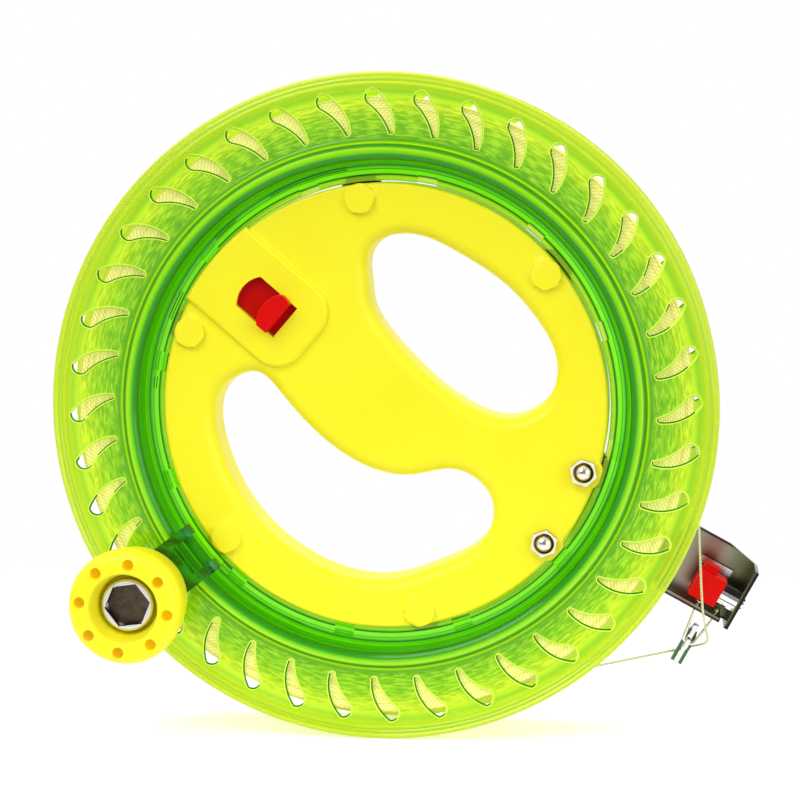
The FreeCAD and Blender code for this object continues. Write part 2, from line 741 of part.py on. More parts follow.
def grip_outside(side):
    """Solid outside of a grip half with rounded edges."""
    height = size("plate_height")
    face = side * height
    plate = disc(size("plate_radius"), depths(side, 0, height))
    edge = [e for e in plate.Edges if e.Closed and abs(e.CenterOfMass.y - face) < 0.01]
    plate = plate.makeFillet(size("plate_rounding"), edge)
    for points in (THUMB_HOLE, FINGER_HOLE):
        plate = plate.cut(hole_shape(points, 0, depths(side, -1, height + 1)))
    reach = size("plate_radius") - size("plate_rounding") - 1
    edges = [e for e in plate.Edges if lies_flat(e, face) and e.BoundBox.XMax < reach]
    return plate.makeFillet(size("hole_rounding"), edges)


def lies_flat(edge, face):
    return abs(edge.BoundBox.YMin - face) < 0.01 and abs(edge.BoundBox.YMax - face) < 0.01


def grip_hollow(side):
    """Space inside a grip half."""
    wall = size("shell_wall")
    inside = size("plate_height") - wall
    space = disc(size("plate_radius") - wall, depths(side, -1, inside))
    for points in (THUMB_HOLE, FINGER_HOLE):
        space = space.cut(hole_shape(points, wall, depths(side, -2, inside + 1)))
    return space


def grip_posts(side):
    """Bearing seats with their caps, the post of the second bolt and the screw posts."""
    height = size("plate_height")
    inside = height - size("shell_wall")
    ring = size("bearing_circle")
    seat = size("seat_radius")
    seats = depths(side, size("bearing_half"), inside + 1)
    posts = [disc(seat, seats, ring, angle) for angle in bearing_angles()]
    caps = depths(side, inside, height + size("cap_height"))
    posts += [disc(size("cap_radius"), caps, ring, angle) for angle in bearing_angles()[:-1]]
    whole = depths(side, 0, inside + 1)
    posts.append(disc(seat + 1, whole, ring, bolt_angles()[1]))
    out = size("grip_screw_out")
    posts += [disc(size("grip_post"), whole, out, angle) for angle in grip_screw_angles()]
    return posts


def grip_half(side, pads, spaces, posts):
    """Shell of a grip half; pads are added outside, spaces emptied, posts added inside."""
    shell = grip_outside(side).multiFuse(pads) if pads else grip_outside(side)
    hollow = grip_hollow(side).multiFuse(spaces) if spaces else grip_hollow(side)
    shell = shell.cut(hollow)
    pocket = depths(side, -1, size("bearing_half") + size("pocket_gap"))
    reach = size("bearing_radius") + size("pocket_gap")
    ring = size("bearing_circle")
    shell = shell.cut([disc(reach, pocket, ring, angle) for angle in bearing_angles()])
    shell = shell.multiFuse(grip_posts(side) + posts)
    limit = size("plate_radius") + size("pad_overhang")
    return shell.common(disc(limit, depths(side, 0, size("pad_height") + 5)))


def lock_pad():
    """Raised pad over the lock, rounded, its outer end in line with the grip's overhang."""
    half = size("pad_half")
    top = size("pad_height")
    outer = size("plate_radius") + size("pad_overhang")
    start = size("pad_inner")
    pad = brick((start, outer + 2), depths(-1, size("pad_under"), top), (-half, half))
    corners = [e for e in pad.Edges if e.BoundBox.XMax < start + 0.1 and e.BoundBox.ZLength < 0.1]
    corners = [e for e in corners if e.BoundBox.YLength > 1]
    pad = pad.makeFillet(size("pad_corner"), corners)
    pad = pad.common(disc(outer, depths(-1, size("pad_under") - 1, top + 1)))
    rounded = [e for e in pad.Edges if e.BoundBox.YMax < 0.01 - top]
    pad = pad.makeFillet(size("pad_rounding"), rounded)
    return swung(pad, size("lock_angle"))


def lock_space():
    wall = size("shell_wall")
    half = size("pad_half") - wall
    reach = (size("pad_inner") + wall + 1, size("plate_radius") - wall)
    depth = depths(-1, size("pad_under") - 1, size("pad_height") - wall)
    return brick(reach, depth, (-half, half), size("lock_angle"))


def rail_low():
    """Distance from the mid-plane of the retaining plate's outer face."""
    ceiling = size("pad_height") - size("shell_wall")
    return ceiling - size("slider_wall") - 2 * size("slider_play")


def retainer_posts():
    """Where the retaining plate's posts stand: (along, across)."""
    along = size("tab_inner")
    across = size("slider_half") + size("slider_play") + size("rail_wall") + 2
    return [(along, across), (along, -across)]


def lock_rails():
    near = size("slider_half") + size("slider_play")
    far = near + size("rail_wall")
    depth = depths(-1, rail_low(), size("pad_height") - size("shell_wall"))
    reach = (size("slider_inner") - 2, size("plate_radius") - size("shell_wall"))
    angle = size("lock_angle")
    rails = [brick(reach, depth, pair, angle) for pair in ((near, far), (-far, -near))]
    return rails + [disc(1.9, depth, along, angle, across) for along, across in retainer_posts()]


def lock_window():
    """Window in the pad with a round outer end."""
    half = size("window_half")
    depth = depths(-1, size("pad_under") - 2, size("pad_height") + 1)
    inner = size("window_inner")
    outer = size("window_outer")
    bend = half * 1.5
    window = brick((inner, outer), depth, (-half, half))
    rounded = disc(bend, depth, outer - bend)
    straight = brick((inner - 1, outer - bend), depth, (-half - 1, half + 1))
    return swung(window.common(rounded.fuse(straight)), size("lock_angle"))


def tip_slot():
    low = size("tip_low")
    depth = depths(-1, low - size("slider_play"), low + size("tip_wall") + size("slider_play"))
    half = size("tip_half") + size("slider_play")
    wall = size("plate_radius") - size("shell_wall")
    return brick((wall - 2, size("plate_radius") + 3), depth, (-half, half), size("lock_angle"))


def grip_front_shell():
    height = size("plate_height")
    ring = size("bearing_circle")
    shell = grip_half(-1, [lock_pad()], [lock_space()], lock_rails())
    limit = disc(size("plate_radius") + size("pad_overhang"), depths(-1, 0, height + 5))
    raised = depths(-1, height - 1, height + size("nut_boss_height"))
    seats = [disc(size("nut_boss"), raised, ring, angle) for angle in bolt_angles()]
    shell = shell.multiFuse([seat.common(limit) for seat in seats])
    play = size("screw_play")
    blind = depths(-1, -1, height - 1)
    tools = [disc(size("bearing_bore"), blind, ring, a) for a in bearing_angles()[:-1]]
    through = depths(-1, -1, height + 2)
    tools += [disc(size("bolt_radius") + play, through, ring, a) for a in bolt_angles()]
    out = size("grip_screw_out")
    pilot = size("wheel_screw_shank") + play
    short = depths(-1, -1, height - 3)
    tools += [disc(pilot, short, out, a) for a in grip_screw_angles()]
    sink = depths(-1, rail_low() - 1, rail_low() + 2)
    angle = size("lock_angle")
    tools += [disc(LOCK_SCREW + play, sink, x, angle, z) for x, z in retainer_posts()]
    feature(shell.cut(tools + [lock_window(), tip_slot()]), "grip_front_shell")


LOCK_SCREW = 0.8


def grip_rear_shell():
    height = size("plate_height")
    ring = size("bearing_circle")
    play = size("screw_play")
    shell = grip_half(1, [], [], [])
    through = depths(1, -1, height + 3)
    tools = [disc(size("bearing_bore"), through, ring, a) for a in bearing_angles()[:-1]]
    seat = depths(1, axle_seat(), height + 3)
    recess = size("axle_head") + 0.2
    tools += [disc(recess, seat, ring, a) for a in bearing_angles()[:-1]]
    tools += [disc(size("bolt_radius") + play, through, ring, a) for a in bolt_angles()]
    out = size("grip_screw_out")
    shank = size("wheel_screw_shank") + play
    tools += [disc(shank, through, out, a) for a in grip_screw_angles()]
    recess = size("wheel_screw_head") + 0.2
    sink = depths(1, height - 2.5, height + 3)
    tools += [disc(recess, sink, out, a) for a in grip_screw_angles()]
    feature(shell.cut(tools), "grip_rear_shell")


def axle_seat():
    return size("plate_height") + size("cap_height") - size("axle_head_height") - 0.6


def grip_screws():
    screws = []
    for index in range(2):
        angle = "grip_screw_angle + %d" % (180 * index)
        seat = "plate_height - 2.5"
        shank = rod("wheel_screw_shank", ("3.5 - plate_height", seat), "grip_screw_out", "0", angle)
        head_span = (seat, seat + " + 1.6")
        head = rod("wheel_screw_head", head_span, "grip_screw_out", "0", angle)
        screws.append(join(shank, head))
    node(group(*screws), "grip_screws")


SECOND_BOLT = "2 * guide_angle - (%s)" % BEARING_ANGLES[-1]


def bearing_axle_screws():
    screws = []
    seat = "plate_height + cap_height - axle_head_height - 0.6"
    for angle in BEARING_ANGLES[:-1]:
        span = ("1.5 - plate_height", seat)
        shank = rod("bearing_bore - screw_play", span, "bearing_circle", "0", angle)
        head_span = (seat, seat + " + axle_head_height")
        head = rod("axle_head", head_span, "bearing_circle", "0", angle)
        cross = hexagon("2.5", (seat + " + 0.8", seat + " + 4"), "bearing_circle", angle)
        screws.append(cut(join(shank, head), cross))
    node(group(*screws), "bearing_axle_screws")


# ---------------------------------------------------------------- bearings

def ring(outer, inner, span, angle):
    outside = rod(outer, span, "bearing_circle", "0", angle)
    inside = rod(inner, (span[0] + " - 1", span[1] + " + 1"), "bearing_circle", "0", angle)
    return cut(outside, inside)


def race(angle):
    """Groove that the balls run in."""
    item = DOC.addObject("Part::Torus", "Race")
    bind(item, Radius1="ball_circle", Radius2="ball_radius + ball_play")
    return bind(item, Placement=spot("bearing_circle", "0", "0", angle, Z_TO_DEPTH))


BEARING_SPAN = ("-bearing_half", "bearing_half")
INNER_EDGE = "bearing_bore + bearing_ring"
OUTER_EDGE = "bearing_radius - bearing_outer_wall"


def bearings():
    inner_rings = []
    for number, angle in enumerate(BEARING_ANGLES, start=1):
        inner = ring(INNER_EDGE, "bearing_bore", BEARING_SPAN, angle)
        inner_rings.append(cut(inner, race(angle)))
        outer = ring("bearing_radius", OUTER_EDGE, BEARING_SPAN, angle)
        node(cut(outer, race(angle)), "bearing_%d_outer_ring" % number)
        node(balls(angle), "bearing_%d_balls" % number)
        seals = []
        for low, high in (("bearing_half - 0.1 - seal_wall", "bearing_half - 0.1"),
                          ("0.1 - bearing_half", "0.1 - bearing_half + seal_wall")):
            edge = OUTER_EDGE + " - seal_gap"
            seals.append(ring(edge, INNER_EDGE + " + seal_gap", (low, high), angle))
        node(group(*seals), "bearing_%d_seals" % number)
    node(group(*inner_rings), "bearing_inner_rings")


def balls(angle):
    spheres = []
    for step in around("ball_count"):
        sphere = DOC.addObject("Part::Sphere", "Ball")
        along = "bearing_circle + ball_circle * cos((%s) * 1 deg)" % step
        across = "ball_circle * sin((%s) * 1 deg)" % step
        bind(sphere, Radius="ball_radius", Placement=spot(along, "0", across, angle))
        spheres.append(sphere)
    return group(*spheres)


# ---------------------------------------------------------------- lock

SLIDER_TOP = "pad_height - shell_wall - slider_play"
RAIL_LOW = SLIDER_TOP + " - slider_wall - slider_play"
LOCK_RISER = 5
SPRING_WALL = 0.2


def lock_slider():
    half = ("-slider_half", "slider_half")
    tip_half = ("-tip_half", "tip_half")
    top = "-(%s)" % SLIDER_TOP
    under = "-(%s - slider_wall)" % SLIDER_TOP
    plate = block(("slider_inner", "slider_outer"), (top, under), half, "lock_angle")
    tab_reach = ("tab_inner", "tab_inner + tab_wall")
    tab = block(tab_reach, ("-tab_height", under), half, "lock_angle")
    riser_start = "slider_outer - %d" % LOCK_RISER
    riser_depth = (under + " - 0.5", "-tip_low")
    riser = block((riser_start, "slider_outer"), riser_depth, tip_half, "lock_angle")
    tip_depth = ("-tip_low - tip_wall", "-tip_low")
    tip = block((riser_start, "tip_end"), tip_depth, tip_half, "lock_angle")
    node(join(plate, tab, riser, tip), "lock_slider")


def lock_retainer():
    reach = ("slider_inner - 1.5", "slider_outer - %d - slider_play" % LOCK_RISER)
    depth = ("-(%s)" % RAIL_LOW, "-(%s) + retainer_wall" % RAIL_LOW)
    plate = block(reach, depth, ("-retainer_half", "retainer_half"), "lock_angle")
    holes = [rod("%s + screw_play" % LOCK_SCREW, (depth[0] + " - 1", depth[1] + " + 1"),
                 "tab_inner", across, "lock_angle") for across in POST_ACROSS]
    node(cut(plate, *holes), "lock_retainer")
    screws = []
    for across in POST_ACROSS:
        shank_depth = (depth[0] + " - 1.8", depth[1])
        shank = rod(str(LOCK_SCREW), shank_depth, "tab_inner", across, "lock_angle")
        head = rod("1.6", (depth[1], depth[1] + " + 1"), "tab_inner", across, "lock_angle")
        screws.append(join(shank, head))
    node(group(*screws), "lock_retainer_screws")
    spring_depth = (depth[0] + " - %s" % SPRING_WALL, depth[0])
    reach = ("slider_inner + 1", "tab_inner + tab_wall")
    node(block(reach, spring_depth, ("-2", "2"), "lock_angle"), "lock_detent_spring")


POST_OUT = "slider_half + slider_play + rail_wall + 2"
POST_ACROSS = (POST_OUT, "-(%s)" % POST_OUT)


# ---------------------------------------------------------------- line guide

STRIP_FRONT = "rim_height + strip_gap"
STRIP_BACK = "rim_height + strip_gap + strip_wall"
FOOT_BACK = "plate_height + strip_wall"
BOLTS = (BEARING_ANGLES[-1], SECOND_BOLT)


def guide_bracket():
    bend = "foot_outer - 0.7"
    profile = [
        ("foot_inner", "plate_height"),
        ("foot_outer", "plate_height"),
        ("foot_outer + joggle_length", STRIP_FRONT),
        ("ear_along - strip_wall", STRIP_FRONT),
        ("ear_along - strip_wall", "ear_front"),
        ("ear_along", "ear_front"),
        ("ear_along", STRIP_BACK + " - 1.2", "1.2"),
        ("ear_along - 1.2", STRIP_BACK),
        (bend + " + joggle_length", STRIP_BACK),
        (bend, FOOT_BACK),
        ("foot_inner", FOOT_BACK),
    ]
    strip = padded("XY_Plane", profile, "2 * strip_half")
    bind(strip, Placement=spot("0", "0", "-strip_half", "guide_angle"))
    wings = ("-foot_half", "foot_half")
    foot = block(("foot_inner", bend), ("plate_height", FOOT_BACK), wings, "guide_angle")
    lip_across = ("-strip_half", "strip_wall - strip_half")
    lip_depth = ("lip_front", STRIP_FRONT + " + 0.5")
    lip = block(("lip_start", "lip_end"), lip_depth, lip_across, "guide_angle")
    wedge = [
        ("taper_start", "strip_half"),
        ("ear_along + 1", "strip_half - taper_drop"),
        ("ear_along + 1", "strip_half + 1"),
        ("taper_start", "strip_half + 1"),
    ]
    taper = padded("XZ_Plane", wedge, "%s + 2" % STRIP_BACK, True)
    bind(taper, Placement=spot("0", "0", "0", "guide_angle"))
    depth = ("plate_height - 1", FOOT_BACK + " + 1")
    holes = [rod("bolt_radius + screw_play", depth, "bearing_circle", "0", a) for a in BOLTS]
    for along in BAIL_ALONG:
        across = ("-strip_half - 1", "strip_wall + 1 - strip_half")
        place = (along, "bail_depth", "guide_angle")
        holes.append(cross_rod("bail_wire + bail_play", across, *place))
    reach = ("ear_along - strip_wall - 1", "ear_along + 1")
    holes.append(outward_rod("2 + screw_play", reach, "bar_depth", "bar_across", "guide_angle"))
    node(cut(join(strip, foot, lip), taper, *holes), "guide_bracket")


def bracket_bolts():
    bolts = []
    nuts = []
    face = "-plate_height - nut_boss_height"
    for angle in BOLTS:
        shank = rod("bolt_radius", (face + " - 3", FOOT_BACK), "bearing_circle", "0", angle)
        head_span = (FOOT_BACK, FOOT_BACK + " + bolt_head_height")
        head = rod("bolt_head", head_span, "bearing_circle", "0", angle)
        socket_span = (FOOT_BACK + " + 1", FOOT_BACK + " + 4")
        socket = hexagon("4", socket_span, "bearing_circle", angle)
        bolts.append(cut(join(shank, head), socket))
        nut_span = (face + " - nut_height", face)
        prism = hexagon("nut_flats", nut_span, "bearing_circle", angle)
        dome = DOC.addObject("Part::Sphere", "Dome")
        centre = face + " - nut_height + 0.6"
        bind(dome, Radius="dome_radius", Placement=spot("bearing_circle", centre, "0", angle))
        front = (face + " - 9", centre)
        cap = DOC.addObject("Part::Common", "Cap")
        cap.Base = dome
        cap.Tool = rod("dome_radius + 1", front, "bearing_circle", "0", angle)
        bore_span = (face + " - 3.2", face + " + 1")
        bore = rod("bolt_radius + screw_play", bore_span, "bearing_circle", "0", angle)
        nuts.append(cut(join(prism, cap), bore))
    node(group(*bolts), "bracket_bolts")
    node(group(*nuts), "bracket_dome_nuts")


def guide_bar():
    reach = ("bar_start", "ear_along - strip_wall")
    place = ("bar_depth", "bar_across", "guide_angle")
    bar = outward_rod("bar_radius", reach, *place)
    rivet = outward_rod("2", ("ear_along - strip_wall - 1", "ear_along + 0.8"), *place)
    node(join(bar, rivet), "guide_bar")


def line_gate():
    reach = ("gate_start", "gate_start + gate_length")
    across = ("bar_across - gate_half", "bar_across + gate_half")
    body = block(reach, ("gate_front", "gate_back"), across, "guide_angle")
    tab_reach = ("gate_start + 0.5", "gate_start + 5.5")
    tab_across = ("bar_across + gate_half - 0.1", "bar_across + gate_half + gate_tab")
    tab = block(tab_reach, ("bar_depth - 3", "bar_depth + 2"), tab_across, "guide_angle")
    past = ("gate_start - 1", "gate_start + gate_length + 1")
    bore = outward_rod("bar_radius + gate_play", past, "bar_depth", "bar_across", "guide_angle")
    node(cut(join(body, tab), bore), "line_gate")


BAIL_ALONG = ("clip_along - bail_half", "clip_along + bail_half")
BAIL_FOOT = ("clip_along - bail_foot", "clip_along + bail_foot")
BAIL_TOP = "-strip_half + strip_wall + 1.2"
BAIL_LOW = "-23.4"


def polar_point(along, depth, across, angle):
    turn = math.radians(angle)
    right = along * math.cos(turn) - across * math.sin(turn)
    up = along * math.sin(turn) + across * math.cos(turn)
    return Vector(right, depth, up)


def rounded_path(points, radii):
    """Straight runs joined by tangent arcs, as one wire."""
    edges = []
    start = points[0]
    for index in range(1, len(points) - 1):
        before = (points[index] - points[index - 1]).normalize()
        after = (points[index + 1] - points[index]).normalize()
        half = before.getAngle(after) / 2
        reach = radii[index - 1] * math.tan(half)
        first = points[index] - before * reach
        last = points[index] + after * reach
        inward = (after - before).normalize()
        sagitta = radii[index - 1] * (1 / math.cos(half) - 1)
        edges.append(Part.LineSegment(start, first).toShape())
        edges.append(Part.Arc(first, points[index] + inward * sagitta, last).toShape())
        start = last
    edges.append(Part.LineSegment(start, points[-1]).toShape())
    return Part.Wire(edges)


def tube(points, radii, radius):
    path = rounded_path(points, radii)
    circle = Part.makeCircle(radius, points[0], points[1] - points[0])
    return path.makePipeShell([Part.Wire(circle)], True, False), path.Length


def clip_bail():
    angle = size("guide_angle")
    depth = size("bail_depth")
    top = size(BAIL_TOP)
    low = size(BAIL_LOW)
    under = size("-strip_half - bail_wire")
    route = [(size(BAIL_ALONG[0]), top), (size(BAIL_ALONG[0]), under), (size(BAIL_FOOT[0]), low)]
    route += [(size(BAIL_FOOT[1]), low), (size(BAIL_ALONG[1]), under), (size(BAIL_ALONG[1]), top)]
    points = [polar_point(along, depth, across, angle) for along, across in route]
    bend = size("bail_bend")
    wire, _length = tube(points, [bend] * 4, size("bail_wire"))
    ends = [Part.makeSphere(size("bail_wire") * 1.6, points[index]) for index in (0, -1)]
    feature(wire.multiFuse(ends), "clip_bail")


CLIP_BACK = "bail_depth + bail_wire + 0.3"


def clip():
    """Leaf with a hook under the bail, two jaws on one pin behind the bail."""
    place = ("clip_along", "clip_pin_across", "guide_angle")
    hook_low = "-25.6"
    leaf_half = "0.7"
    leaf = [
        (CLIP_BACK, "clip_pin_across + 1.3"),
        (CLIP_BACK, hook_low + " + 0.8"),
        ("bail_depth - bail_wire - 0.3", hook_low + " + 0.8"),
        ("bail_depth - bail_wire - 0.3", hook_low + " + 3.4"),
        ("bail_depth - bail_wire - 0.9", hook_low + " + 3.4"),
        ("bail_depth - bail_wire - 0.9", hook_low),
        (CLIP_BACK, hook_low),
        (CLIP_BACK, "clip_end - 1"),
        (CLIP_BACK + " + 0.6", "clip_end - 1"),
        (CLIP_BACK + " + 0.6", "clip_pin_across + 1.3"),
    ]
    plate = padded("YZ_Plane", leaf, "2 * %s" % leaf_half)
    bind(plate, Placement=spot("clip_along - %s" % leaf_half, "0", "0", "guide_angle"))
    hole = (CLIP_BACK + " - 1", CLIP_BACK + " + 2")
    pin_hole = rod("clip_pin_radius + pin_play", hole, place[0], place[1], place[2])
    node(cut(plate, pin_hole), "clip_leaf")
    first = CLIP_BACK + " + 0.6 + clip_layer"
    second = first + " + clip_wall + clip_layer"
    back = second + " + clip_wall"
    pin = rod("clip_pin_radius", (CLIP_BACK + " - 1.2", back + " + 0.4"), *place)
    head = rod("1.1", (CLIP_BACK + " - 1.2", CLIP_BACK + " - 0.2"), *place)
    node(join(pin, head), "clip_pivot_pin")
    clip_jaw("clip_jaw_left", -1, first, (first, back))
    clip_jaw("clip_jaw_right", 1, second, (first, back))


def clip_jaw(label, hand, eye_depth, strip_depth):
    """Jaw on one side of the clip: an eye on the pin, a neck and a strip down to the end."""
    near = "clip_along + %d * clip_half" % hand
    far = "clip_along + %d * (clip_half + clip_wall)" % hand
    shoulder = "clip_pin_across - 3.2"
    neck = [
        ("clip_along - %d * 0.9" % hand, "clip_pin_across + 1.1"),
        ("clip_along + %d * 0.9" % hand, "clip_pin_across + 1.1"),
        (far, shoulder),
        (far, "clip_end"),
        (near, "clip_end"),
        (near, shoulder),
        ("clip_along - %d * 0.9" % hand, "clip_pin_across - 1.1"),
    ]
    plate = padded("XZ_Plane", neck, "clip_wall", True)
    bind(plate, Placement=spot("0", eye_depth, "0", "guide_angle"))
    sides = (near, far) if hand > 0 else (far, near)
    strip = block(sides, strip_depth, ("clip_end", shoulder + " - 0.4"), "guide_angle")
    hole = (eye_depth + " - 1", eye_depth + " + 3")
    place = ("clip_along", "clip_pin_across", "guide_angle")
    bore = rod("clip_pin_radius + pin_play", hole, *place)
    node(cut(join(plate, strip), bore), label)


# ---------------------------------------------------------------- loose line

LINE_ROUTE = [
    (102.56, 0.0, -5.4),
    (104.9, -2.4, -62.0),
    (106.3, -1.2, -73.0),
    (108.2, 10.5, -81.0),
    (103.4, 18.6, -84.0),
    (21.3, 7.0, -100.5),
]


def free_line():
    points = [Vector(*place) for place in LINE_ROUTE]
    radii = []
    for index in range(1, len(points) - 1):
        before = points[index] - points[index - 1]
        after = points[index + 1] - points[index]
        shorter = min(before.Length, after.Length)
        radii.append(0.45 * shorter / math.tan(before.getAngle(after) / 2))
    radius = size("line_width") / 2
    solid, length = tube(points, radii, radius)
    print("line bend radii", [round(value, 1) for value in radii], "length", round(length, 1))
    print("line volume ratio", solid.Volume / (math.pi * radius * radius * length))
    feature(solid, "free_line")


# ---------------------------------------------------------------- build and write

def check_and_write():
    DOC.recompute()
    for item in DOC.Objects:
        if "Invalid" in item.State or "Error" in item.State:
            raise RuntimeError("%s (%s) failed" % (item.Label, item.TypeId))
    for item in NODES:
        if item.Shape.isNull() or not item.Shape.isValid() or not item.Shape.Solids:
            raise RuntimeError("%s has no valid shape" % item.Label)
    os.makedirs("parts", exist_ok=True)
    for item in NODES:
        item.Shape.exportStep("parts/%s.step" % item.Label)
        print(item.Label, len(item.Shape.Solids), round(item.Shape.Volume, 1))


fill_sheet()
spool_front_half()
spool_rear_half()
spool_screws()
line_pack()
crank_arm()
crank_hinge_pin()
crank_knob()
knob_axle()
grip_front_shell()
grip_rear_shell()
grip_screws()
bearing_axle_screws()
bearings()
lock_slider()
lock_retainer()
guide_bracket()
bracket_bolts()
guide_bar()
line_gate()
clip_bail()
clip()
free_line()
check_and_write()
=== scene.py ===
import math

import bmesh
import bpy
from mathutils import Matrix, Vector


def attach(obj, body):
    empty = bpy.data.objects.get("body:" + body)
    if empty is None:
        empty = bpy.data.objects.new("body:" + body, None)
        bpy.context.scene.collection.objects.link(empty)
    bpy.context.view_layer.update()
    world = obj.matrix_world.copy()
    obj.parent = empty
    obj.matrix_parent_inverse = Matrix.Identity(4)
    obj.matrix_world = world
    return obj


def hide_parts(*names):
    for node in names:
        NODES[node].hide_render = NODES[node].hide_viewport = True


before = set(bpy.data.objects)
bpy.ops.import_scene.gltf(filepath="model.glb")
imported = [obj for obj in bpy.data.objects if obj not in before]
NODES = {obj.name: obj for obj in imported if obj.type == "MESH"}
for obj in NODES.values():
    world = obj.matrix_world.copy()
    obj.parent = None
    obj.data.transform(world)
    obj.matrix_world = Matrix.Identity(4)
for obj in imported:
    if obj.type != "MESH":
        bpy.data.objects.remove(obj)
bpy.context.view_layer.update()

# Kite line winder: lime wheel on six bearings round a yellow grip, folding crank, lock and
# steel line guide.  Pieces are drawn in millimetres in the polar frame of their mount: x away
# from the wheel axis, y the depth, z the tangent, counter-clockwise seen from the front.

MM = 0.001
ORIGIN = (0, 0, 0)
WHEEL_AXIS = (0, -1, 0)

# Directions of the crank, the lock and the line guide, in degrees round the wheel.
CRANK_ANGLE = 217.8
LOCK_ANGLE = 139.5
GUIDE_ANGLE = -28.4
# Distance from the wheel's axis to the knob's.
KNOB_ALONG = 102.2
# Middle and outer radius of the wound line.
PACK_MIDDLE = 95
PACK_RADIUS = 102
# Gap that the drawn turns leave to that radius.
PACK_GAP = 0.1


# ---------------------------------------------------------------- camera and lamps

# Focal length in millimetres; place, target and clipping distances in metres.
CAMERA_LENS = 110.0
CAMERA_PLACE = (0.0920, -0.8085, 0.0880)
CAMERA_TARGET = (0.0062, -0.0185, 0.0033)
CAMERA_CLIPPING = (0.01, 20)
# Name, place and diameter in metres, and power in watts.
LAMPS = [
    ("key", (-0.55, -0.95, 0.95), 0.9, 8),
    ("fill", (0.9, -0.8, 0.25), 0.8, 3.5),
    ("top", (0.0, 0.25, 1.15), 0.9, 5),
]


def new_object(name, data):
    item = bpy.data.objects.new(name, data)
    bpy.context.scene.collection.objects.link(item)
    return item


def aim(item, place, target):
    """Puts a lamp or camera at a place in metres, looking at a target."""
    item.location = place
    item.rotation_euler = (Vector(target) - Vector(place)).to_track_quat("-Z", "Y").to_euler()


def add_camera():
    lens = bpy.data.cameras.new("winder_camera")
    lens.lens = CAMERA_LENS
    lens.clip_start, lens.clip_end = CAMERA_CLIPPING
    camera = new_object("winder_camera", lens)
    aim(camera, CAMERA_PLACE, CAMERA_TARGET)
    bpy.context.scene.camera = camera


def add_lamp(name, place, width, power):
    """Round soft lamp that shines on the middle of the wheel."""
    lamp = bpy.data.lights.new(name, "AREA")
    lamp.shape = "DISK"
    lamp.size = width
    lamp.energy = power
    aim(new_object(name, lamp), place, ORIGIN)


add_camera()


# ---------------------------------------------------------------- line that runs out of the wheel

LINE_DIAMETER = 0.8
LINE_ROUTE = [
    (102.56, 0.0, -5.4),
    (104.9, -2.4, -62.0),
    (106.3, -1.2, -73.0),
    (108.2, 10.5, -81.0),
    (103.4, 18.6, -84.0),
    (21.3, 7.0, -100.5),
]


def add_line():
    """Line from the pack past the gate and through the clip, and back onto the pack."""
    route = bpy.data.curves.new("running_line", "CURVE")
    route.dimensions = "3D"
    # The points carry the line's radius, because a curve's box grows by its points' radius.
    route.bevel_depth = 1.0
    route.bevel_resolution = 3
    route.resolution_u = 24
    route.use_fill_caps = True
    spline = route.splines.new("NURBS")
    spline.points.add(len(LINE_ROUTE) - 1)
    for point, place in zip(spline.points, LINE_ROUTE):
        point.co = (*(Vector(place) * MM), 1)
        point.radius = LINE_DIAMETER / 2 * MM
    spline.order_u = 3
    spline.use_endpoint_u = True
    line = new_object("running_line", route)
    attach(line, "grip")
    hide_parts("free_line")
    return line


LINE = add_line()


# ---------------------------------------------------------------- shader writing

def shade(text):
    """Linear colour of a hexadecimal colour."""
    channels = [int(text[start:start + 2], 16) / 255 for start in (0, 2, 4)]
    return (*((c / 12.92 if c <= 0.04045 else ((c + 0.055) / 1.055) ** 2.4) for c in channels), 1)


class Wire:
    """A number in a node tree; arithmetic on it adds Math nodes."""

    def __init__(self, finish, socket):
        self.finish = finish
        self.socket = socket

    def __add__(self, other):
        return self.finish.maths("ADD", self, other)

    def __sub__(self, other):
        return self.finish.maths("SUBTRACT", self, other)

    def __rsub__(self, other):
        return self.finish.maths("SUBTRACT", other, self)

    def __mul__(self, other):
        return self.finish.maths("MULTIPLY", self, other)

    def __truediv__(self, other):
        return self.finish.maths("DIVIDE", self, other)

    def __pow__(self, other):
        return self.finish.maths("POWER", self, other)

    __radd__ = __add__
    __rmul__ = __mul__

    def larger(self, other):
        return self.finish.maths("MAXIMUM", self, other)

    def size(self):
        return self.finish.maths("ABSOLUTE", self)

    def wave(self):
        """0 to 1 and back each time the value grows by a full circle."""
        return self.finish.maths("SINE", self) * 0.5 + 0.5

    def within(self, low, high):
        """0 below low, 1 above high, smooth between."""
        settings = {"interpolation_type": "SMOOTHSTEP"}
        return self.finish.node("MapRange", settings, {"Value": self, 1: low, 2: high})

    def band(self, rise, fall):
        """1 between a rise and a fall, each given by its two ends."""
        return self.within(*rise) * (1 - self.within(*fall))


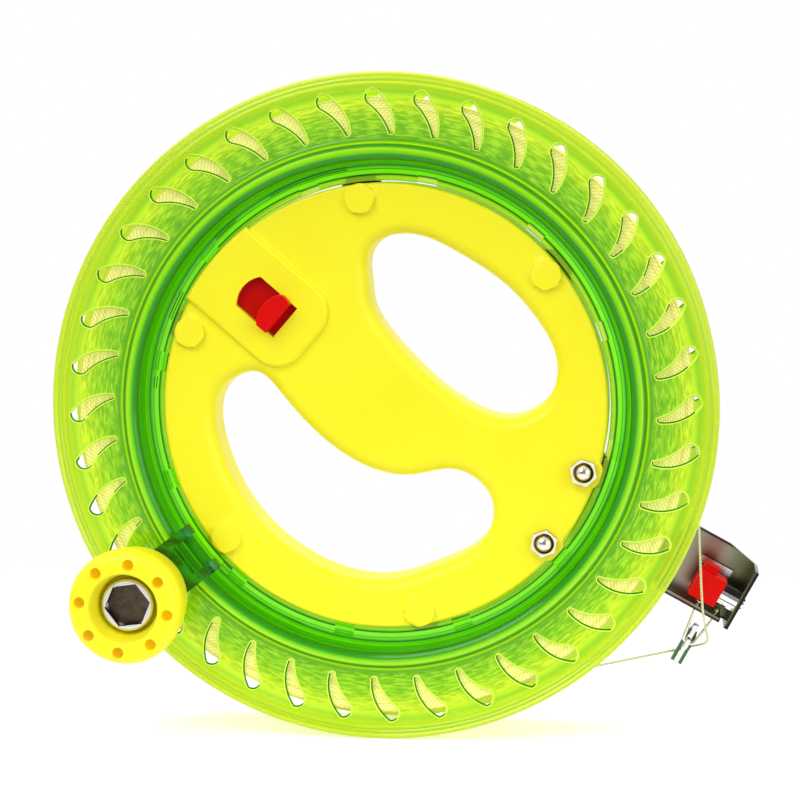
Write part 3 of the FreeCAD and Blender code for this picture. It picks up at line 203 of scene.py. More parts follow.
class Finish:
    """Node tree of a material or world; values are Wires, numbers or colours."""

    def __init__(self, owner):
        self.owner = owner
        owner.use_nodes = True
        self.tree = owner.node_tree
        self.tree.nodes.clear()

    def node(self, kind, settings=None, inputs=None, out=0):
        made = self.tree.nodes.new("ShaderNode" + kind)
        for name, value in (settings or {}).items():
            if name == "stops":
                self.set_stops(made.color_ramp, value)
            else:
                setattr(made, name, value)
        for name, value in (inputs or {}).items():
            if isinstance(value, Wire):
                self.tree.links.new(value.socket, made.inputs[name])
            else:
                made.inputs[name].default_value = value
        return Wire(self, made.outputs[out])

    def set_stops(self, ramp, stops):
        while len(ramp.elements) < len(stops):
            ramp.elements.new(1)
        for element, (position, colour) in zip(ramp.elements, stops):
            element.position = position
            element.color = shade(colour)

    def maths(self, operation, *values):
        return self.node("Math", {"operation": operation}, dict(enumerate(values)))

    def ray(self, kind):
        """1 for rays of a kind and 0 for others."""
        return self.node("LightPath", out=kind)

    def place(self):
        return self.node("TexCoord", out="Object")

    def axes(self):
        """Object coordinates in millimetres."""
        split = self.node("SeparateXYZ", inputs={0: self.place()})
        sockets = split.socket.node.outputs
        return [Wire(self, socket) * (1 / MM) for socket in sockets]

    def noise(self, scale, detail=2, roughness=0.5, vector=None):
        values = {"Scale": scale, "Detail": detail, "Roughness": roughness}
        values["Vector"] = vector or self.place()
        return self.node("TexNoise", inputs=values)

    def stretched(self, scales, turn):
        """Object coordinates scaled per axis, after a turn about the depth axis in degrees."""
        values = {"Vector": self.place(), "Scale": scales, "Rotation": (0, math.radians(turn), 0)}
        return self.node("Mapping", inputs=values)

    def mix(self, factor, first, second, blend="MIX"):
        settings = {"data_type": "RGBA", "blend_type": blend}
        return self.node("Mix", settings, {0: factor, 6: first, 7: second}, out=2)

    def ramp(self, value, stops):
        return self.node("ValToRGB", {"stops": stops}, {0: value})

    def bump(self, height, strength, distance):
        values = {"Height": height, "Strength": strength, "Distance": distance * MM}
        return self.node("Bump", inputs=values)

    def plastic(self, colour, **sockets):
        """Principled shader; socket names are written with underscores."""
        values = {"Base Color": colour}
        values.update({name.replace("_", " "): value for name, value in sockets.items()})
        return self.node("BsdfPrincipled", inputs=values)

    def blend(self, share, first, second):
        """Two shaders mixed; the share is the second one's."""
        return self.node("MixShader", inputs={0: share, 1: first, 2: second})

    def close(self, shader, kind="Material"):
        """Ends the tree in its output and returns what it belongs to."""
        output = self.tree.nodes.new("ShaderNodeOutput" + kind)
        self.tree.links.new(shader.socket, output.inputs[0])
        return self.owner


# ---------------------------------------------------------------- floor and light

WHITE = shade("ffffff")
BLACK = shade("000000")
# Strength of the light from all round, and the share by which mirrors show less of the front.
ROOM_LIGHT = 0.82
FRONT_LOSS = 0.75
# Height and half width of the floor in metres, and its shaded patch, which fades out between
# two distances in millimetres, is narrower towards the back and takes a share of the glow.
FLOOR_HEIGHT = -0.1101
FLOOR_REACH = 4
SHADED_PATCH = (120, 520)
PATCH_NARROWING = 1.6
PATCH_SHARE = 0.66


def distance(right, up):
    """Length of two coordinates at a right angle."""
    return (right * right + up * up) ** 0.5


def studio_world():
    """Plain room that looks white where it is seen directly or through clear plastic."""
    studio = Finish(bpy.data.worlds.new("studio"))
    glossy = studio.ray("Is Glossy Ray")
    direct = studio.ray("Is Camera Ray").larger(studio.ray("Is Transmission Ray"))
    direction = studio.node("TexCoord", out="Generated")
    depth = studio.node("SeparateXYZ", inputs={0: direction}, out=1)
    front = (0 - depth).within(0.35, 0.95)
    mirrored = glossy * (1 - FRONT_LOSS * front)
    ambient = studio.node("Background", inputs={"Color": WHITE, "Strength": ROOM_LIGHT})
    bright = studio.node("Background", inputs={"Color": WHITE, "Strength": 1.0})
    reflected = studio.node("Background", inputs={"Color": WHITE, "Strength": mirrored})
    base = studio.blend(glossy, ambient, reflected)
    return studio.close(studio.blend(direct, base, bright), "World")


def floor_paper():
    """Paper that takes the shadow near the winder and glows white further out."""
    ground = Finish(bpy.data.materials.new("studio_floor"))
    direct = ground.ray("Is Camera Ray").larger(ground.ray("Is Transmission Ray"))
    direct = direct.larger(ground.ray("Is Glossy Ray"))
    right, back, _up = ground.axes()
    nearby = 1 - distance(right, back * PATCH_NARROWING).within(*SHADED_PATCH)
    paper = ground.node("BsdfDiffuse", inputs={"Color": ground.mix(nearby, BLACK, shade("f4f4f4"))})
    strength = direct * (1 - PATCH_SHARE * nearby)
    glow = ground.node("Emission", inputs={"Color": WHITE, "Strength": strength})
    return ground.close(ground.node("AddShader", inputs={0: paper, 1: glow}))


def add_floor():
    sheet = bmesh.new()
    bmesh.ops.create_grid(sheet, x_segments=4, y_segments=4, size=FLOOR_REACH)
    bmesh.ops.translate(sheet, verts=sheet.verts, vec=(0, 0, FLOOR_HEIGHT))
    mesh = bpy.data.meshes.new("floor")
    sheet.to_mesh(mesh)
    sheet.free()
    mesh.materials.append(floor_paper())
    new_object("floor", mesh)


bpy.context.scene.view_settings.view_transform = "Standard"
bpy.context.scene.world = studio_world()
add_floor()
for lamp_values in LAMPS:
    add_lamp(*lamp_values)


# ---------------------------------------------------------------- finishes

# Tints from the lip to the rim: distance from the axis in millimetres, then the colour; the narrow
# dark stops at the hub's steps and walls are painted shade.
LIME_CLEAR = [
    (74.6, "e4f488"),
    (76.2, "dcf27c"),
    (76.4, "3c9c30"),
    (76.8, "3c9c30"),
    (77.1, "b8fa54"),
    (78.3, "b4f850"),
    (78.5, "48a83c"),
    (78.8, "a4ea4c"),
    (79.4, "8cd848"),
    (79.8, "3c9c34"),
    (80.2, "90dc48"),
    (81.1, "8cd844"),
    (81.5, "48ac38"),
    (83.2, "80cc3c"),
    (85.2, "ccec50"),
    (85.7, "389430"),
    (86.6, "2c8828"),
    (87.2, "d8f468"),
    (87.8, "98cc3c"),
    (94.0, "b8e044"),
    (97.0, "cce44c"),
    (100.0, "f0f880"),
    (103.0, "bce050"),
    (105.0, "c4e058"),
    (110.0, "d0e074"),
]
# Colours of the cloudy part over the same distances; here too the narrow dark stops are painted
# shade.
LIME_BODY = [
    (74.6, "c4ec50"),
    (76.2, "bcec48"),
    (76.4, "0e7400"),
    (76.8, "0e7400"),
    (77.1, "98fc24"),
    (78.3, "90f81c"),
    (78.5, "128000"),
    (78.8, "90f420"),
    (79.4, "52c810"),
    (79.8, "087800"),
    (80.2, "48b80a"),
    (81.1, "70e418"),
    (81.5, "0c7800"),
    (83.2, "2c9402"),
    (84.2, "84d40c"),
    (85.2, "b0e418"),
    (85.7, "2c9404"),
    (86.6, "0a6400"),
    (87.2, "c8f434"),
    (87.8, "4ca800"),
    (89.6, "80cc08"),
    (94.0, "94d80c"),
    (97.0, "b4e018"),
    (100.0, "e8f848"),
    (102.0, "ccec3c"),
    (103.6, "9cd01c"),
    (105.2, "bcd834"),
    (106.2, "c4dc38"),
    (107.4, "a0cc1c"),
    (108.4, "ccdc40"),
    (110.0, "ccdc50"),
]

# Distances from the axis of the lip, where the tints begin, and of their end past the rim.
TINTS_FROM = 74
TINTS_UNTIL = 111
# Where the finish of the wheel changes, each from one distance to another.
LIP_END = (76.4, 76.9)
FLANGE_START = (87.2, 88.4)
WOUND_START = (88.4, 89.2)
WOUND_END = (100.6, 102.4)
RIM_START = (104.4, 105.4)
# Shares of cloudy plastic, and what the lip has less.
HUB_CLOUD = 0.6
FLANGE_CLOUD = 0.46
RIM_CLOUD = 0.44
LIP_CLEARNESS = 0.36
LIME_WARMTH = shade("fffea0")
PLASTIC_IOR = 1.46
SHADOW_CLEARNESS = 0.9
WORN_STEEL = shade("8a8782")
# Slanting strands of the wound line: their length along a turn and their width across it.
STRAND_LENGTH = 1.5
STRAND_WIDTH = 1.6
# Distance from the axis where the outermost turns of the wound line begin.
OUTER_LAYER = (PACK_RADIUS - 0.5, PACK_RADIUS - 0.3)


def wheel_frame(finish):
    """Distance from the axis, depth and way along a turn of the line, in millimetres."""
    right, depth, up = finish.axes()
    turning = finish.maths("ARCTAN2", up, right) * PACK_MIDDLE
    return distance(right, up), depth, turning


def guide_frame(finish):
    """Distances along and across the line guide, in millimetres."""
    right, _depth, up = finish.axes()
    turn = math.radians(GUIDE_ANGLE)
    along = right * math.cos(turn) + up * math.sin(turn)
    across = up * math.cos(turn) - right * math.sin(turn)
    return along, across


def by_radius(finish, radius, tints):
    """Colour ramp over the distance from the axis."""
    span = TINTS_UNTIL - TINTS_FROM
    stops = [((place - TINTS_FROM) / span, tint) for place, tint in tints]
    return finish.ramp((radius - TINTS_FROM) / span, stops)


def clear_plastic(finish, tint, **sockets):
    """Glassy plastic that lets tinted light through to what it shades."""
    glassy = finish.plastic(tint, Transmission_Weight=1.0, IOR=PLASTIC_IOR, **sockets)
    open_air = finish.node("BsdfTransparent", inputs={"Color": tint})
    return finish.blend(finish.ray("Is Shadow Ray") * SHADOW_CLEARNESS, glassy, open_air)


def lime_finish(name):
    """Lime plastic, part clear and part cloudy, with the turns of the line painted in as they show
    through (lighter dashes, painted shade in the gaps) and a painted glow.
    """
    finish = Finish(bpy.data.materials.new(name))
    radius, _depth, turning = wheel_frame(finish)
    # The wound line behind is painted in: lighter dashes for its turns, painted shade in the gaps
    # between them.
    turn_rows = finish.node("CombineXYZ", inputs={"X": radius * 1.5, "Y": turning * 0.22})
    dashes = finish.noise(1.0, detail=2, roughness=0.55, vector=turn_rows).within(0.38, 0.64)
    painted_gap_shade = 1 - dashes
    wound = radius.band(WOUND_START, WOUND_END)
    flow = finish.noise(14, detail=3)
    tint = by_radius(finish, radius, LIME_CLEAR)
    tint = finish.mix(flow * 0.2, tint, shade("8fdc2c"), "MULTIPLY")
    tint = finish.mix(1.0, tint, LIME_WARMTH, "MULTIPLY")
    tint = finish.mix(wound * painted_gap_shade * 0.6, tint, shade("a8dc50"), "MULTIPLY")
    body = finish.mix(1.0, by_radius(finish, radius, LIME_BODY), LIME_WARMTH, "MULTIPLY")
    body = finish.mix(wound * dashes * 0.5, body, shade("d8f438"))
    body = finish.mix(wound * painted_gap_shade * 0.45, body, shade("4c9800"))
    grain = finish.bump(finish.noise(420), strength=0.03, distance=0.2)
    glassy = clear_plastic(finish, tint, Roughness=0.03, Specular_IOR_Level=0.3, Normal=grain)
    outward = radius.within(*FLANGE_START)
    # The cloudy part glows in its own colour, a little less on the flange: painted light.
    cloudy = finish.plastic(
        body,
        Roughness=0.15,
        IOR=PLASTIC_IOR,
        Specular_IOR_Level=0.3,
        Normal=grain,
        Emission_Color=finish.mix(outward * 0.15, body, BLACK),
        Emission_Strength=0.42,
    )
    lip = 1 - radius.within(*LIP_END)
    at_rim = radius.within(*RIM_START)
    cloud = HUB_CLOUD + outward * (FLANGE_CLOUD - HUB_CLOUD)
    cloud = cloud + at_rim * (RIM_CLOUD - FLANGE_CLOUD) - lip * LIP_CLEARNESS
    return finish.close(finish.blend(cloud, glassy, cloudy))


def glass_finish(name):
    """Deep green clear plastic of the crank arm, lighter where flow marks run."""
    finish = Finish(bpy.data.materials.new(name))
    along_arm = finish.stretched((1, 1, 3), -CRANK_ANGLE)
    flow = finish.noise(90, detail=3, roughness=0.6, vector=along_arm)
    streak = flow.within(0.4, 0.62)
    grain = finish.bump(flow, strength=0.25, distance=0.4)
    tint = finish.mix(streak, shade("187820"), shade("7cd850"))
    glassy = clear_plastic(finish, tint, Roughness=0.04, Normal=grain)
    dense = finish.plastic(
        finish.mix(streak, shade("00500a"), shade("14a01c")),
        Roughness=0.1,
        IOR=PLASTIC_IOR,
        Normal=grain,
    )
    return finish.close(finish.blend(0.55, glassy, dense))


def moulded(name, colour, darker, roughness, **sockets):
    """Opaque moulded plastic with faint flow marks and a fine grain."""
    finish = Finish(bpy.data.materials.new(name))
    flow = finish.noise(28, detail=3, roughness=0.55).within(0.35, 0.75)
    tone = finish.mix(flow, shade(colour), shade(darker))
    # A given emission strength makes the plastic glow in its own colour: painted light.
    if "Emission_Strength" in sockets:
        sockets["Emission_Color"] = tone
    surface = finish.plastic(
        tone,
        Roughness=roughness + finish.noise(60) * 0.08,
        Normal=finish.bump(finish.noise(900), strength=0.05, distance=0.1),
        **sockets,
    )
    return finish.close(surface)


def metal(name, colour, roughness):
    """Plain steel with fine marks and a little wear."""
    finish = Finish(bpy.data.materials.new(name))
    marks = finish.noise(240, detail=4, roughness=0.6)
    wear = finish.noise(90, detail=3)
    surface = finish.plastic(
        finish.mix(wear * 0.35, shade(colour), WORN_STEEL),
        Metallic=1.0,
        Roughness=roughness + marks * 0.12,
        Normal=finish.bump(marks, strength=0.04, distance=0.2),
    )
    return finish.close(surface)


def sheet_steel(name):
    """Dull mirror of rolled sheet: painted reflections of the red gate and of the bar, olive in
    places and dark at its cut edges.
    """
    finish = Finish(bpy.data.materials.new(name))
    along, across = guide_frame(finish)
    rolled = finish.stretched((160, 160, 30), -GUIDE_ANGLE)
    marks = finish.noise(6, detail=4, roughness=0.6, vector=rolled)
    cloud = finish.noise(30, detail=3).within(0.35, 0.65)
    # Painted reflections: the red gate, and beside it the bar's bright image with a thin dark
    # outline.
    gate_reflection = along.band((113, 119), (121, 126))
    olive = along.within(122, 131)
    beside_gate = along.band((117.5, 118.5), (129.2, 130))
    bar_reflection = across.band((1.3, 1.5), (4.0, 4.2)) * beside_gate
    bar_reflection_outline = across.band((4.1, 4.2), (4.5, 4.6)) * beside_gate
    edge = across.size().within(10.9, 11.6).larger(along.within(134.2, 135.4))
    tone = finish.mix(cloud, shade("767a60"), shade("989484"))
    tone = finish.mix(gate_reflection * 0.7, tone, shade("8a5c50"))
    tone = finish.mix(olive * 0.7, tone, shade("5c6038"))
    tone = finish.mix(bar_reflection * 0.95, tone, shade("fafaf6"))
    tone = finish.mix(edge.larger(bar_reflection_outline) * 0.9, tone, shade("14120e"))
    surface = finish.plastic(
        tone,
        Metallic=1.0,
        Roughness=0.2 + marks * 0.1,
        Normal=finish.bump(marks, strength=0.03, distance=0.2),
    )
    return finish.close(surface)


def nut_steel(name):
    """Polished nut with painted reflections by facing angle: bright where it faces outward, brown
    and gold on the slanted sides.
    """
    finish = Finish(bpy.data.materials.new(name))
    aside = finish.node("LayerWeight", inputs={"Blend": 0.5}, out="Facing")
    wear = finish.noise(260, detail=3)
    # Colour by facing angle: painted reflections.
    tone = finish.ramp(
        aside + (wear - 0.5) * 0.2,
        [(0.05, "f6f4ea"), (0.2, "d8d0b0"), (0.3, "8c6c20"), (0.45, "2c1c08"), (0.7, "b09850")],
    )
    grain = finish.bump(wear, strength=0.05, distance=0.1)
    return finish.close(finish.plastic(tone, Metallic=1.0, Roughness=0.08, Normal=grain))


def band_steel(name):
    """Polished bar with a broad and a thin painted dark reflection running along it."""
    finish = Finish(bpy.data.materials.new(name))
    _along, across = guide_frame(finish)
    wear = finish.noise(200, detail=3)
    ripple = across + (finish.noise(60) - 0.5) * 0.3
    # Painted dark reflections along the bar.
    dark = ripple.within(-1.3, -1.0).larger(ripple.band((-4.2, -4.0), (-3.8, -3.6)))
    tone = finish.mix(dark, shade("f8f8f6"), shade("0c0c0a"))
    tone = finish.mix(wear * 0.15, tone, WORN_STEEL)
    grain = finish.bump(wear, strength=0.03, distance=0.1)
    return finish.close(finish.plastic(tone, Metallic=1.0, Roughness=0.12, Normal=grain))


def screw_steel(name):
    """Turned steel ring round a hexagon socket, dark inside with painted shade."""
    finish = Finish(bpy.data.materials.new(name))
    right, depth, up = finish.axes()
    turn = math.radians(CRANK_ANGLE)
    radius = distance(right - KNOB_ALONG * math.cos(turn), up - KNOB_ALONG * math.sin(turn))
    # Inside the socket: painted shade, mottled dark brown.
    deep = depth.within(-39.3, -38.6) * (1 - radius.within(7.0, 7.2))
    rings = (radius * 9.0).wave()
    painted_shade_mottle = finish.noise(380, detail=4, roughness=0.65)
    bright = finish.mix(rings * 0.4, shade("e4e2dc"), shade("a8a49c"))
    dark = finish.mix(painted_shade_mottle, shade("2c2018"), shade("6e6052"))
    surface = finish.plastic(
        finish.mix(deep, bright, dark),
        Metallic=1.0,
        Roughness=0.16 + deep * 0.25,
        Normal=finish.bump(rings, strength=0.1, distance=0.1),
    )
    return finish.close(surface)


def fibre(name):
    """Pale line with the strands of its twist."""
    finish = Finish(bpy.data.materials.new(name))
    right, depth, up = finish.axes()
    twist = ((right + up) * 5.2 + depth * 9.0).wave()
    tone = finish.mix(twist, shade("cfc98f"), shade("f3efd2"))
    grain = finish.bump(twist, strength=0.4, distance=0.2)
    return finish.close(finish.plastic(tone, Roughness=0.75, Normal=grain))


def wound_fibre(name):
    """Twisted line laid turn by turn: pale strands, painted shade between the turns, and a painted
    glow.
    """
    finish = Finish(bpy.data.materials.new(name))
    radius, depth, turning = wheel_frame(finish)
    outer = radius.within(*OUTER_LAYER)
    across = outer * depth + (1 - outer) * radius
    circle = 2 * math.pi
    strand = (turning * (circle / STRAND_LENGTH) + across * (circle / STRAND_WIDTH)).wave()
    turns = (across * (circle / LINE_DIAMETER)).wave()
    patches = finish.noise(45, detail=3, roughness=0.6)
    one_turn = finish.node("CombineXYZ", inputs={"X": across * MM, "Y": turning * (0.01 * MM)})
    odd_turns = finish.noise(700, detail=1, vector=one_turn).within(0.5, 0.62)
    tone = finish.mix(strand, shade("e2dc5c"), shade("fffcc0"))
    # Darker in the grooves between the turns: painted shade.
    tone = finish.mix(turns.within(0.0, 0.35), shade("c4bc3c"), tone)
    tone = finish.mix(patches * 0.35, tone, shade("f2ee78"))
    tone = finish.mix(odd_turns * 0.35, tone, shade("b4ac38"))
    # The line glows in its own colour: painted light.
    surface = finish.plastic(
        tone,
        Roughness=0.8,
        Normal=finish.bump(strand, strength=0.5, distance=0.25),
        Emission_Color=tone,
        Emission_Strength=0.4,
    )
    return finish.close(surface)


LIME = lime_finish("lime_plastic")
LIME_DEEP = glass_finish("deep_lime_plastic")
# Where an emission strength is given below, the plastic glows a little: painted light.
YELLOW = moulded(
    "lemon_plastic", "fdf424", "fcf01c", 0.36, Specular_IOR_Level=0.35, Emission_Strength=0.03
)
# Walls of the knob's holes: a darker lemon as painted shade, with a strong glow as painted light.
HOLE_SHADE_AND_GLOW = moulded("lemon_inside", "eed40c", "e2c408", 0.4, Emission_Strength=0.25)
# Slot lips: a lighter lime that glows a little, a painted highlight.
LIP_HIGHLIGHT = moulded("lime_lip", "dcf25c", "c4ea40", 0.2, Emission_Strength=0.2)
LIME_SHADE = moulded("lime_shade", "228a00", "167400", 0.3, Specular_IOR_Level=0.15)
RED = moulded(
    "red_plastic", "e00a04", "cc0803", 0.34, Specular_IOR_Level=0.12, Emission_Strength=0.04
)
# The lock slider, seen in the tab's recess, is a darker copy of the red: painted shade.
SHADED_RED = moulded(
    "shaded_red_plastic", "cc0a04", "b40602", 0.34, Specular_IOR_Level=0.1, Emission_Strength=0.04
)
SHEET_STEEL = sheet_steel("sheet_steel")
BRIGHT_STEEL = metal("bright_steel", "e2e2de", 0.05)
SCREW_STEEL = screw_steel("screw_steel")
# Polished steel made dark for the bearings' outer rings: a painted dark reflection.
DARK_REFLECTION_STEEL = metal("dark_reflection_steel", "34322e", 0.1)
NUT_STEEL = nut_steel("nut_steel")
BAND_STEEL = band_steel("band_steel")
RUBBER = moulded("black_rubber", "0c0c0c", "1a1a1a", 0.5)
GREEN_PAINT = moulded("green_paint", "1f6b3a", "144a27", 0.25, Coat_Weight=0.5)
FIBRE = fibre("line_fibre")
WOUND = wound_fibre("wound_line")

NODE_FINISHES = {
    "crank_arm": LIME_DEEP,
    "crank_hinge_pin": LIME_SHADE,
    "crank_knob": YELLOW,
    "line_gate": RED,
    "lock_slider": SHADED_RED,
    "guide_bracket": SHEET_STEEL,
    "bracket_dome_nuts": NUT_STEEL,
    "guide_bar": BAND_STEEL,
}


def node_finish(name):
    """Finish of a node of the frame: its own, or the one of its family."""
    if name in NODE_FINISHES:
        return NODE_FINISHES[name]
    if "seal" in name:
        return RUBBER
    # Outer rings of the bearings take the painted dark reflection.
    if name.endswith("outer_ring"):
        return DARK_REFLECTION_STEEL
    if name.startswith("clip_jaw"):
        return GREEN_PAINT
    return BRIGHT_STEEL


LINE.data.materials.append(FIBRE)
for node_name, node_item in NODES.items():
    node_item.data.materials.clear()
    node_item.data.materials.append(node_finish(node_name))


# ---------------------------------------------------------------- modelling

def mesh_object(work, name):
    mesh = bpy.data.meshes.new(name)
    work.to_mesh(mesh)
    work.free()
    return new_object(name, mesh)


def turned(work, angle):
    """The mesh turned about the wheel's axis, in degrees counter-clockwise from the front."""
    turn = Matrix.Rotation(math.radians(angle), 3, WHEEL_AXIS)
    bmesh.ops.rotate(work, cent=ORIGIN, matrix=turn, verts=work.verts)
    return work


def moved(work, way):
    bmesh.ops.translate(work, vec=way, verts=work.verts)
    return work


def add_piece(work, name, body, material, stands_for=(), angle=0, sharp=32):
    """Places a finished mesh, given in millimetres, and lets it ride on a body."""
    turned(work, angle)
    bmesh.ops.scale(work, vec=(MM, MM, MM), verts=work.verts)
    item = mesh_object(work, name)
    item.data.shade_smooth()
    item.data.set_sharp_from_angle(angle=math.radians(sharp))
    item.data.materials.append(material)
    weighted = item.modifiers.new("flat_faces", "WEIGHTED_NORMAL")
    weighted.keep_sharp = True
    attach(item, body)
    if stands_for:
        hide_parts(*stands_for)
    return item


def cad_copy(name):
    """Merged mesh of a node of the frame, in millimetres."""
    work = bmesh.new()
    work.from_mesh(NODES[name].data)
    bmesh.ops.scale(work, vec=(1 / MM, 1 / MM, 1 / MM), verts=work.verts)
    bmesh.ops.remove_doubles(work, verts=work.verts, dist=0.001)
    return work


def joined(meshes):
    """One mesh of several."""
    whole = bmesh.new()
    for work in meshes:
        mesh = bpy.data.meshes.new("joined")
        work.to_mesh(mesh)
        work.free()
        whole.from_mesh(mesh)
        bpy.data.meshes.remove(mesh)
    return whole


def outline_wire(work, points):
    """Closed outline through points, as its corners and edges."""
    corners = [work.verts.new(point) for point in points]
    edges = [work.edges.new(pair) for pair in zip(corners, corners[1:] + corners[:1])]
    return corners, edges


def lathe(profile, steps=288, rounding=0.0):
    """Closed profile (radius, depth) turned about the depth axis."""
    work = bmesh.new()
    corners, edges = outline_wire(work, [(radius, depth, 0) for radius, depth in profile])
    if rounding:
        bmesh.ops.bevel(
            work,
            geom=corners + edges,
            offset=rounding,
            segments=2,
            profile=0.5,
            material=-1,
            affect="VERTICES",
            clamp_overlap=True,
        )
    bmesh.ops.spin(
        work,
        geom=work.verts[:] + work.edges[:],
        cent=ORIGIN,
        axis=WHEEL_AXIS,
        angle=2 * math.pi,
        steps=steps,
        use_merge=True,
    )
    bmesh.ops.remove_doubles(work, verts=work.verts, dist=0.001)
    bmesh.ops.recalc_face_normals(work, faces=work.faces)
    return work


def carved(work, tool):
    """The mesh without what a tool takes away; both are in millimetres."""
    item = mesh_object(work, "blank")
    cutter = mesh_object(tool, "cutter")
    boolean = item.modifiers.new("boolean", "BOOLEAN")
    boolean.object = cutter
    boolean.operation = "DIFFERENCE"
    boolean.solver = "EXACT"
    graph = bpy.context.evaluated_depsgraph_get()
    result = bmesh.new()
    result.from_mesh(item.evaluated_get(graph).to_mesh())
    for done in (item, cutter):
        bpy.data.objects.remove(done)
    return result


def repeated(work, count, first=0):
    """Copies of a mesh round the wheel axis, the first at an angle in degrees."""
    turned(work, first)
    bmesh.ops.spin(
        work,
        geom=work.faces[:],
        cent=ORIGIN,
        axis=WHEEL_AXIS,
        angle=2 * math.pi * (count - 1) / count,
        steps=count - 1,
        use_duplicate=True,
    )
    return work


def block(low, high):
    """Box between two corners."""
    work = bmesh.new()
    bmesh.ops.create_cube(work, size=1)
    spans = [far - near for near, far in zip(low, high)]
    bmesh.ops.scale(work, vec=spans, verts=work.verts)
    return moved(work, [(far + near) / 2 for near, far in zip(low, high)])


def arc(start, end, radius, steps):
    """Points from start to end, the arc bulging to the right for a positive radius."""
    start, end = Vector(start), Vector(end)
    chord = end - start
    side = Vector((chord.y, -chord.x)).normalized() * math.copysign(1, radius)
    centre = (start + end) / 2 - side * math.sqrt(radius ** 2 - chord.length_squared / 4)
    spoke = start - centre
    opening = 2 * math.asin(chord.length / 2 / abs(radius)) * math.copysign(1, radius)
    turns = [Matrix.Rotation(opening * step / steps, 2) for step in range(steps)]
    return [centre + turn @ spoke for turn in turns]


# ---------------------------------------------------------------- wheel

SLOT_COUNT = 40
# Corners of a slot (across, outward), and the radius and steps of the arc that leaves each;
# across is counter-clockwise as seen from the half's own face.
SLOT_CORNERS = [(-3.8, 90.6), (2.55, 104.5), (4.7, 99.5), (-2.2, 89.9)]
SLOT_ARCS = [(-15.6, 9), (-2.85, 8), (19, 9), (-1.2, 4)]
# Turn of the rear half's slots against the front's, in degrees.
REAR_PHASE = 3.4
# Depth of the flange's outer face at the hub's edge, and how much it leans outward.
FLANGE_BASE = 14.6
FLANGE_LEAN = 2 / 18.7
HUB_EDGE = 86.8
# Depth where the slot cutters begin, and their length.
CUTTER_START = 11
CUTTER_LENGTH = 8
# Notches that the lock enters: how many, and the lowest and highest corner of one.
NOTCH_COUNT = 12
NOTCH_CORNERS = ((73, 2, -3.3), (79.4, 9, 3.3))
# Rounding of the wheel's edges.
WHEEL_ROUNDING = 0.18
# Radius, first angle and last angle of each mark of the mould; every mark is two lines.
MOULD_MARKS = [
    (78.9, 99.3, 119.2),
    (77.4, 151.3, 158.7),
    (77.5, 173.5, 176.4),
    (78.8, 129.4, 136),
    (76.9, -135.8, -132.6),
    (79.6, -124, -119),
    (79.5, -115, -110.6),
]
# Depth of the ring that carries the marks; width, height and distance of the lines.
MARK_FACE = -5.15
MARK_WIDTH = 0.3
MARK_HEIGHT = 0.25
MARK_GAP = 0.9
MARK_STEPS = 16

# Section of a half with its face towards +Y: distance from the axis, then depth.
WHEEL_SECTION = [
    (74.6, 2.9),
    (77.28, 2.9),
    (77.28, 0.03),
    (79.8, 0.03),
    (79.8, 2.9),
    (83.2, 2.9),
    (83.2, 14.8),
    (85.2, 14.8),
    (85.2, 0.03),
    (87.2, 0.03),
    (87.2, 12.6),
    (105.5, 14.6),
    (110, 15.3),
    (110, 17.6),
    (109.5, 18.3),
    (108.9, 18.5),
    (108.3, 18.0),
    (107.6, 18.45),
    (106.9, 18.0),
    (106.3, 18.5),
    (105.8, 18.4),
    (105.4, 17.6),
    (105.2, 16.62),
    (88.6, 14.8),
    (88.2, 15.1),
    (87.5, 15.1),
    (87.1, 14.75),
    (86.7, 15.4),
    (86.3, 16.5),
    (85.4, 17.15),
    (84.2, 17.3),
    (83.0, 17.2),
    (82.0, 16.6),
    (81.5, 15.6),
    (81.4, 14.2),
    (81.4, 7.2),
    (81.1, 6.0),
    (80.4, 5.3),
    (79.6, 5.1),
    (76.6, 5.1),
    (76.2, 5.4),
    (75.0, 5.4),
    (74.6, 5.0),
]


def slot_points(growth=0.0):
    """Comma outline as (across, outward); growth moves it away from the hole."""
    points = []
    for index, (radius, steps) in enumerate(SLOT_ARCS):
        start = SLOT_CORNERS[index]
        end = SLOT_CORNERS[(index + 1) % len(SLOT_CORNERS)]
        points += arc(start, end, radius, steps)
    grown = []
    for index, point in enumerate(points):
        way = (points[(index + 1) % len(points)] - points[index - 1]).normalized()
        grown.append(point + Vector((-way.y, way.x)) * growth)
    return grown


# Growth of a slot's outline and height above the flange; the first bands make a sloping ledge.
LIP_SECTION = [
    (0.0, -1.6),
    (-0.42, -0.8),
    (0.0, -0.35),
    (0.03, 0.16),
    (0.2, 0.3),
    (0.36, 0.16),
    (0.46, -0.3),
]
LEDGE_BANDS = 2
# Ledges that look this way, to the right and up, get painted shade, past a share of slope.
DARK_WAY = Vector((0.6, 0.8))
DARK_SLOPE = 0.08


def flange_face(radius):
    """Depth of the flange's outer face."""
    return FLANGE_BASE + FLANGE_LEAN * (radius - HUB_EDGE)


def slot_cutters():
    """Prisms that cut all slots of a half."""
    work = bmesh.new()
    corners = [
        work.verts.new((along, CUTTER_START, -across)) for across, along in slot_points()
    ]
    face = work.faces.new(corners)
    grown = bmesh.ops.extrude_face_region(work, geom=[face])
    ends = [item for item in grown["geom"] if isinstance(item, bmesh.types.BMVert)]
    bmesh.ops.translate(work, vec=(0, CUTTER_LENGTH, 0), verts=ends)
    bmesh.ops.recalc_face_normals(work, faces=work.faces)
    return repeated(work, SLOT_COUNT)


